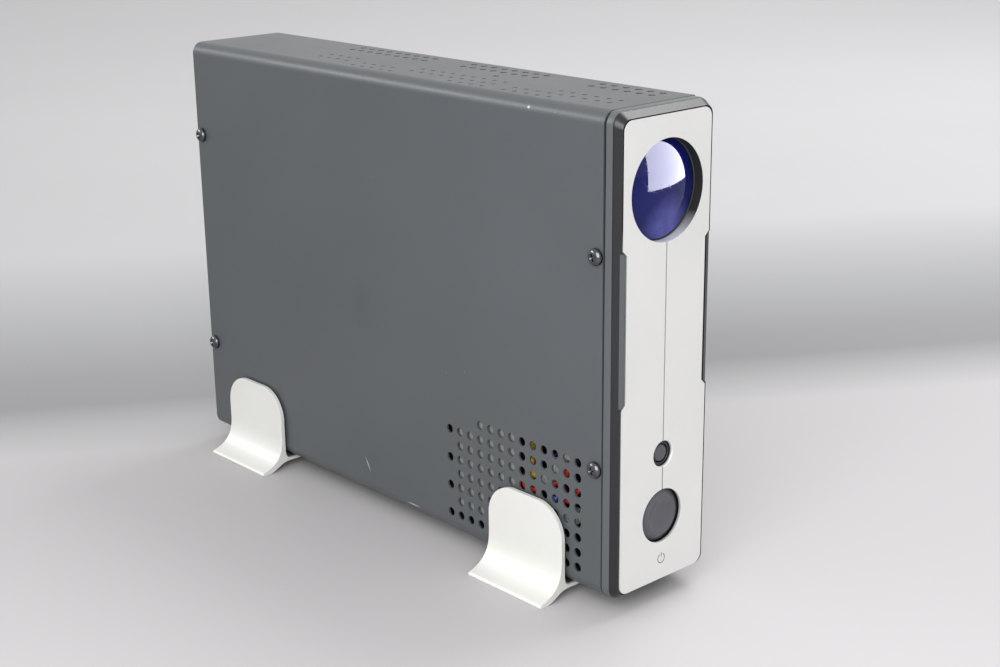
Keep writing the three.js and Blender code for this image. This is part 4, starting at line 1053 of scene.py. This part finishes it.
def make_plate_aluminium():
    """The plate's finish with painted shade: faces set back from the front face, the cut edges, the groove and the
    collar round the lens, are mixed towards near-black, a quarter of the way low down and almost fully from just
    below the lens upward.
    """
    material = satin_aluminium.copy()
    material.name = "plate_aluminium_with_painted_shade"
    shader = material.node_tree.nodes["Principled BSDF"]
    metal = shader.inputs["Base Color"].links[0].from_socket
    place = add_node(material, "TexCoord", {}).outputs["Object"]
    part = add_node(material, "SeparateXYZ", {0: place}).outputs
    behind = add_node(material, "Math", {0: part["Y"], 1: at(0, FACE_Y + 0.2, 0).y}, operation="GREATER_THAN")
    # Painted shade: the darkening grows with height, from a quarter at the lens hole's lower edge to almost full 8
    # mm higher.
    height = add_node(material, "MapRange", {
        0: part["Z"], 1: at(0, 0, LENS_Z - 19).z, 2: at(0, 0, LENS_Z - 11).z, 3: 0.25, 4: 0.97})
    shade = add_node(material, "Math", {0: behind.outputs[0], 1: height.outputs[0]}, operation="MULTIPLY")
    # The near-black 141416 is painted shade, not a colour of the metal.
    tone = add_node(material, "Mix", {0: shade.outputs[0], 6: metal, 7: linear("141416")}, data_type="RGBA")
    return finish_with(material, {"Base Color": tone.outputs[2]})


plate_aluminium_with_painted_shade = make_plate_aluminium()

# %% [markdown]
# ## The blue lens
#
# The lens is tinted polycarbonate, polished in the mould. It hardly scatters light, so its colour
# looks deep and its reflections stay crisp. A paler, cloudy patch is painted low down in the tint. It
# stands for a faint reflection of the room, which this studio lacks. Handling leaves a haze of
# hairline scratches that only shows in the shine.


# %% Blue lens
def make_lens_plastic():
    material = new_material("polished_blue_polycarbonate", {"Specular IOR Level": 0.28})
    place = add_node(material, "TexCoord", {}).outputs["Object"]
    low = add_node(material, "VectorMath", {0: place, 1: tuple(at(4, FACE_Y, LENS_Z - 17))}, operation="DISTANCE")
    pale = add_node(material, "MapRange", {0: low.outputs["Value"], 1: 0.004, 2: 0.016, 3: 1, 4: 0})
    cloud = add_node(material, "TexNoise", {"Vector": place, "Scale": per_mm(7), "Detail": 3})
    amount = add_node(material, "Math", {0: pale.outputs[0], 1: cloud.outputs[0]}, operation="MULTIPLY")
    tint = add_node(material, "Mix", {
        0: amount.outputs[0], 6: linear("0C1250"), 7: linear("6062B4")}, data_type="RGBA")
    hair = add_node(material, "TexWave", {
        "Vector": place, "Scale": per_mm(7), "Distortion": 9, "Detail": 3}, bands_direction="DIAGONAL")
    haze = add_node(material, "MapRange", {0: hair.outputs["Fac"], 1: 0.9, 2: 1, 3: 0.03, 4: 0.12})
    return finish_with(material, {"Base Color": tint.outputs[2], "Roughness": haze.outputs[0]})


lens_plastic = make_lens_plastic()

# %% [markdown]
# ## Giving every piece its finish
#
# The record names a material slot for each node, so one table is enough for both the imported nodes
# and the finer pieces that stand for them.

# %% Finishes
FINISHES = {
    "powder_coated_steel": powder_coat,
    "zinc_plated_steel": zinc_plate,
    "black_plastic": black_plastic,
    "satin_aluminium": satin_aluminium,
    "blue_lens": lens_plastic,
    "grey_plastic": grey_plastic,
    "rubber": stand_rubber,
    "bright_steel": nickel_plate,
    "spring_steel": spring_wire,
    "circuit_board": circuit_board,
    "anodised": natural_anodised,
    "white_plastic": white_plastic,
    "brass": turned_brass,
    "red_insulation": red_pvc,
    "yellow_insulation": yellow_pvc,
    "blue_insulation": blue_pvc,
    "blue_plastic": blue_plastic,
}


def give_finish(piece, slot):
    piece.data.materials.clear()
    piece.data.materials.append(FINISHES[slot])


for part in frame["record"]["subparts"]:
    give_finish(nodes[part["node"]], part["material_slot"])
finer = [piece for piece in bpy.context.scene.objects if piece.get("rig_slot")]
for piece in finer:
    give_finish(piece, piece["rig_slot"])
bezel.data.materials[0] = bezel_plastic
plate.data.materials[0] = plate_aluminium_with_painted_shade
for stand in (front_stand, rear_stand):
    stand.data.materials[0] = pearl_aluminium
nodes["drive"].data.materials[0] = black_plastic
nodes["drive_bracket"].data.materials[0] = passivated_zinc
print("finished:", len(nodes), "nodes and", len(finer), "finer pieces")

# %% [markdown]
# ## Floor and light
#
# A pale painted table stands for the room. Its colour follows a soft ramp from front to back, so the
# far part reads as a wall behind the case. Along the line where table meets wall the ramp dips to a
# darker grey, painted shade for that corner, and the table is painted lighter towards the right, as
# painted light. The main light is a broad panel from above, so the top is brighter than the sides and
# the shadow is soft. A bright card stands low on the right and lights only the lens, which carries
# its reflection. The world adds an even pale light.


# %% Studio
def make_floor():
    bpy.ops.mesh.primitive_plane_add(size=12, location=(0, 0, 0))
    floor = bpy.context.object
    floor.name = "painted_table"
    material = new_material("matt_white_table", {"Roughness": 0.6})
    place = add_node(material, "TexCoord", {}).outputs["Object"]
    line = add_node(material, "VectorMath", {0: place, 1: (0.527, 0.85, 0)}, operation="DOT_PRODUCT")
    wall_ramp_with_painted_shade = add_node(material, "ValToRGB", {0: add_node(material, "MapRange", {
        0: line.outputs["Value"], 1: 0.1, 2: 1.1}).outputs[0]})
    ramp = wall_ramp_with_painted_shade.color_ramp
    # Painted shade: the ramp dips to a darker grey from 0.075 to 0.12, a band along the line where the table meets
    # the wall, standing for the shade in that corner.
    ramp.elements[0].position, ramp.elements[0].color = 0.0, linear("B9B7B8")
    ramp.elements[1].position, ramp.elements[1].color = 0.075, linear("8A8A8C")
    for position, shade in ((0.12, "8E8E90"), (0.41, "C0C0C1"), (1, "C8C7C8")):
        ramp.elements.new(position).color = linear(shade)
    cloud = add_node(material, "TexNoise", {"Vector": place, "Scale": per_mm(260), "Detail": 3})
    # Painted light: the table's colour is scaled from 0.79 on the left to 0.98 on the right, as if more light
    # falls on the right.
    sideways = add_node(material, "VectorMath", {0: place, 1: (0.85, -0.527, 0)}, operation="DOT_PRODUCT")
    painted_light_spread = add_node(material, "MapRange", {0: sideways.outputs["Value"], 1: -0.7, 2: 0.8, 3: 0.79, 4: 0.98})
    soft = add_node(material, "Math", {0: cloud.outputs[0], 1: 0.06, 2: painted_light_spread.outputs[0]},
                    operation="MULTIPLY_ADD")
    tone = add_node(material, "Mix", {
        0: 1, 6: wall_ramp_with_painted_shade.outputs["Color"], 7: soft.outputs[0]}, data_type="RGBA", blend_type="MULTIPLY")
    finish_with(material, {"Base Color": tone.outputs[2]})
    floor.data.materials.append(material)
    return floor


def panel_light(name, place, target, width, height, power, colour="FFFFFF"):
    bpy.ops.object.light_add(type="AREA", location=place)
    lamp = bpy.context.object
    lamp.name = name
    lamp.rotation_euler = (Vector(target) - Vector(place)).to_track_quat("-Z", "Y").to_euler()
    lamp.data.shape = "RECTANGLE"
    lamp.data.size = width
    lamp.data.size_y = height
    lamp.data.energy = power
    lamp.data.color = linear(colour)[:3]
    return lamp


floor = make_floor()
overhead = panel_light("overhead_panel", (1.1, -0.1, 1.7), (0, 0, 0.1), 1.0, 1.0, 17)
fill = panel_light("front_left_fill", (-0.56, -0.46, 0.4), (0, -0.12, 0.1), 0.6, 0.6, 6)
rim = panel_light("rim_strip", (-1.0, 1.2, 0.86), (0, 0, 0.2), 1.0, 0.3, 9)
rim.visible_diffuse = False
rim.visible_camera = False
card = panel_light("lens_card", (0.9, -0.13, 0.47), (0.385, 0.73, 0.47), 1.6, 0.78, 92, "E9E9FF")
card.visible_camera = False
card.visible_diffuse = False
lens_only = bpy.data.collections.new("lens_only")
lens_only.objects.link(lens)
card.light_linking.receiver_collection = lens_only

world = bpy.data.worlds.new("pale_studio")
world.use_nodes = True
world.node_tree.nodes["Background"].inputs["Color"].default_value = linear("EFEFF0")
world.node_tree.nodes["Background"].inputs["Strength"].default_value = 1.08
bpy.context.scene.world = world
bpy.context.scene.view_settings.view_transform = "Standard"
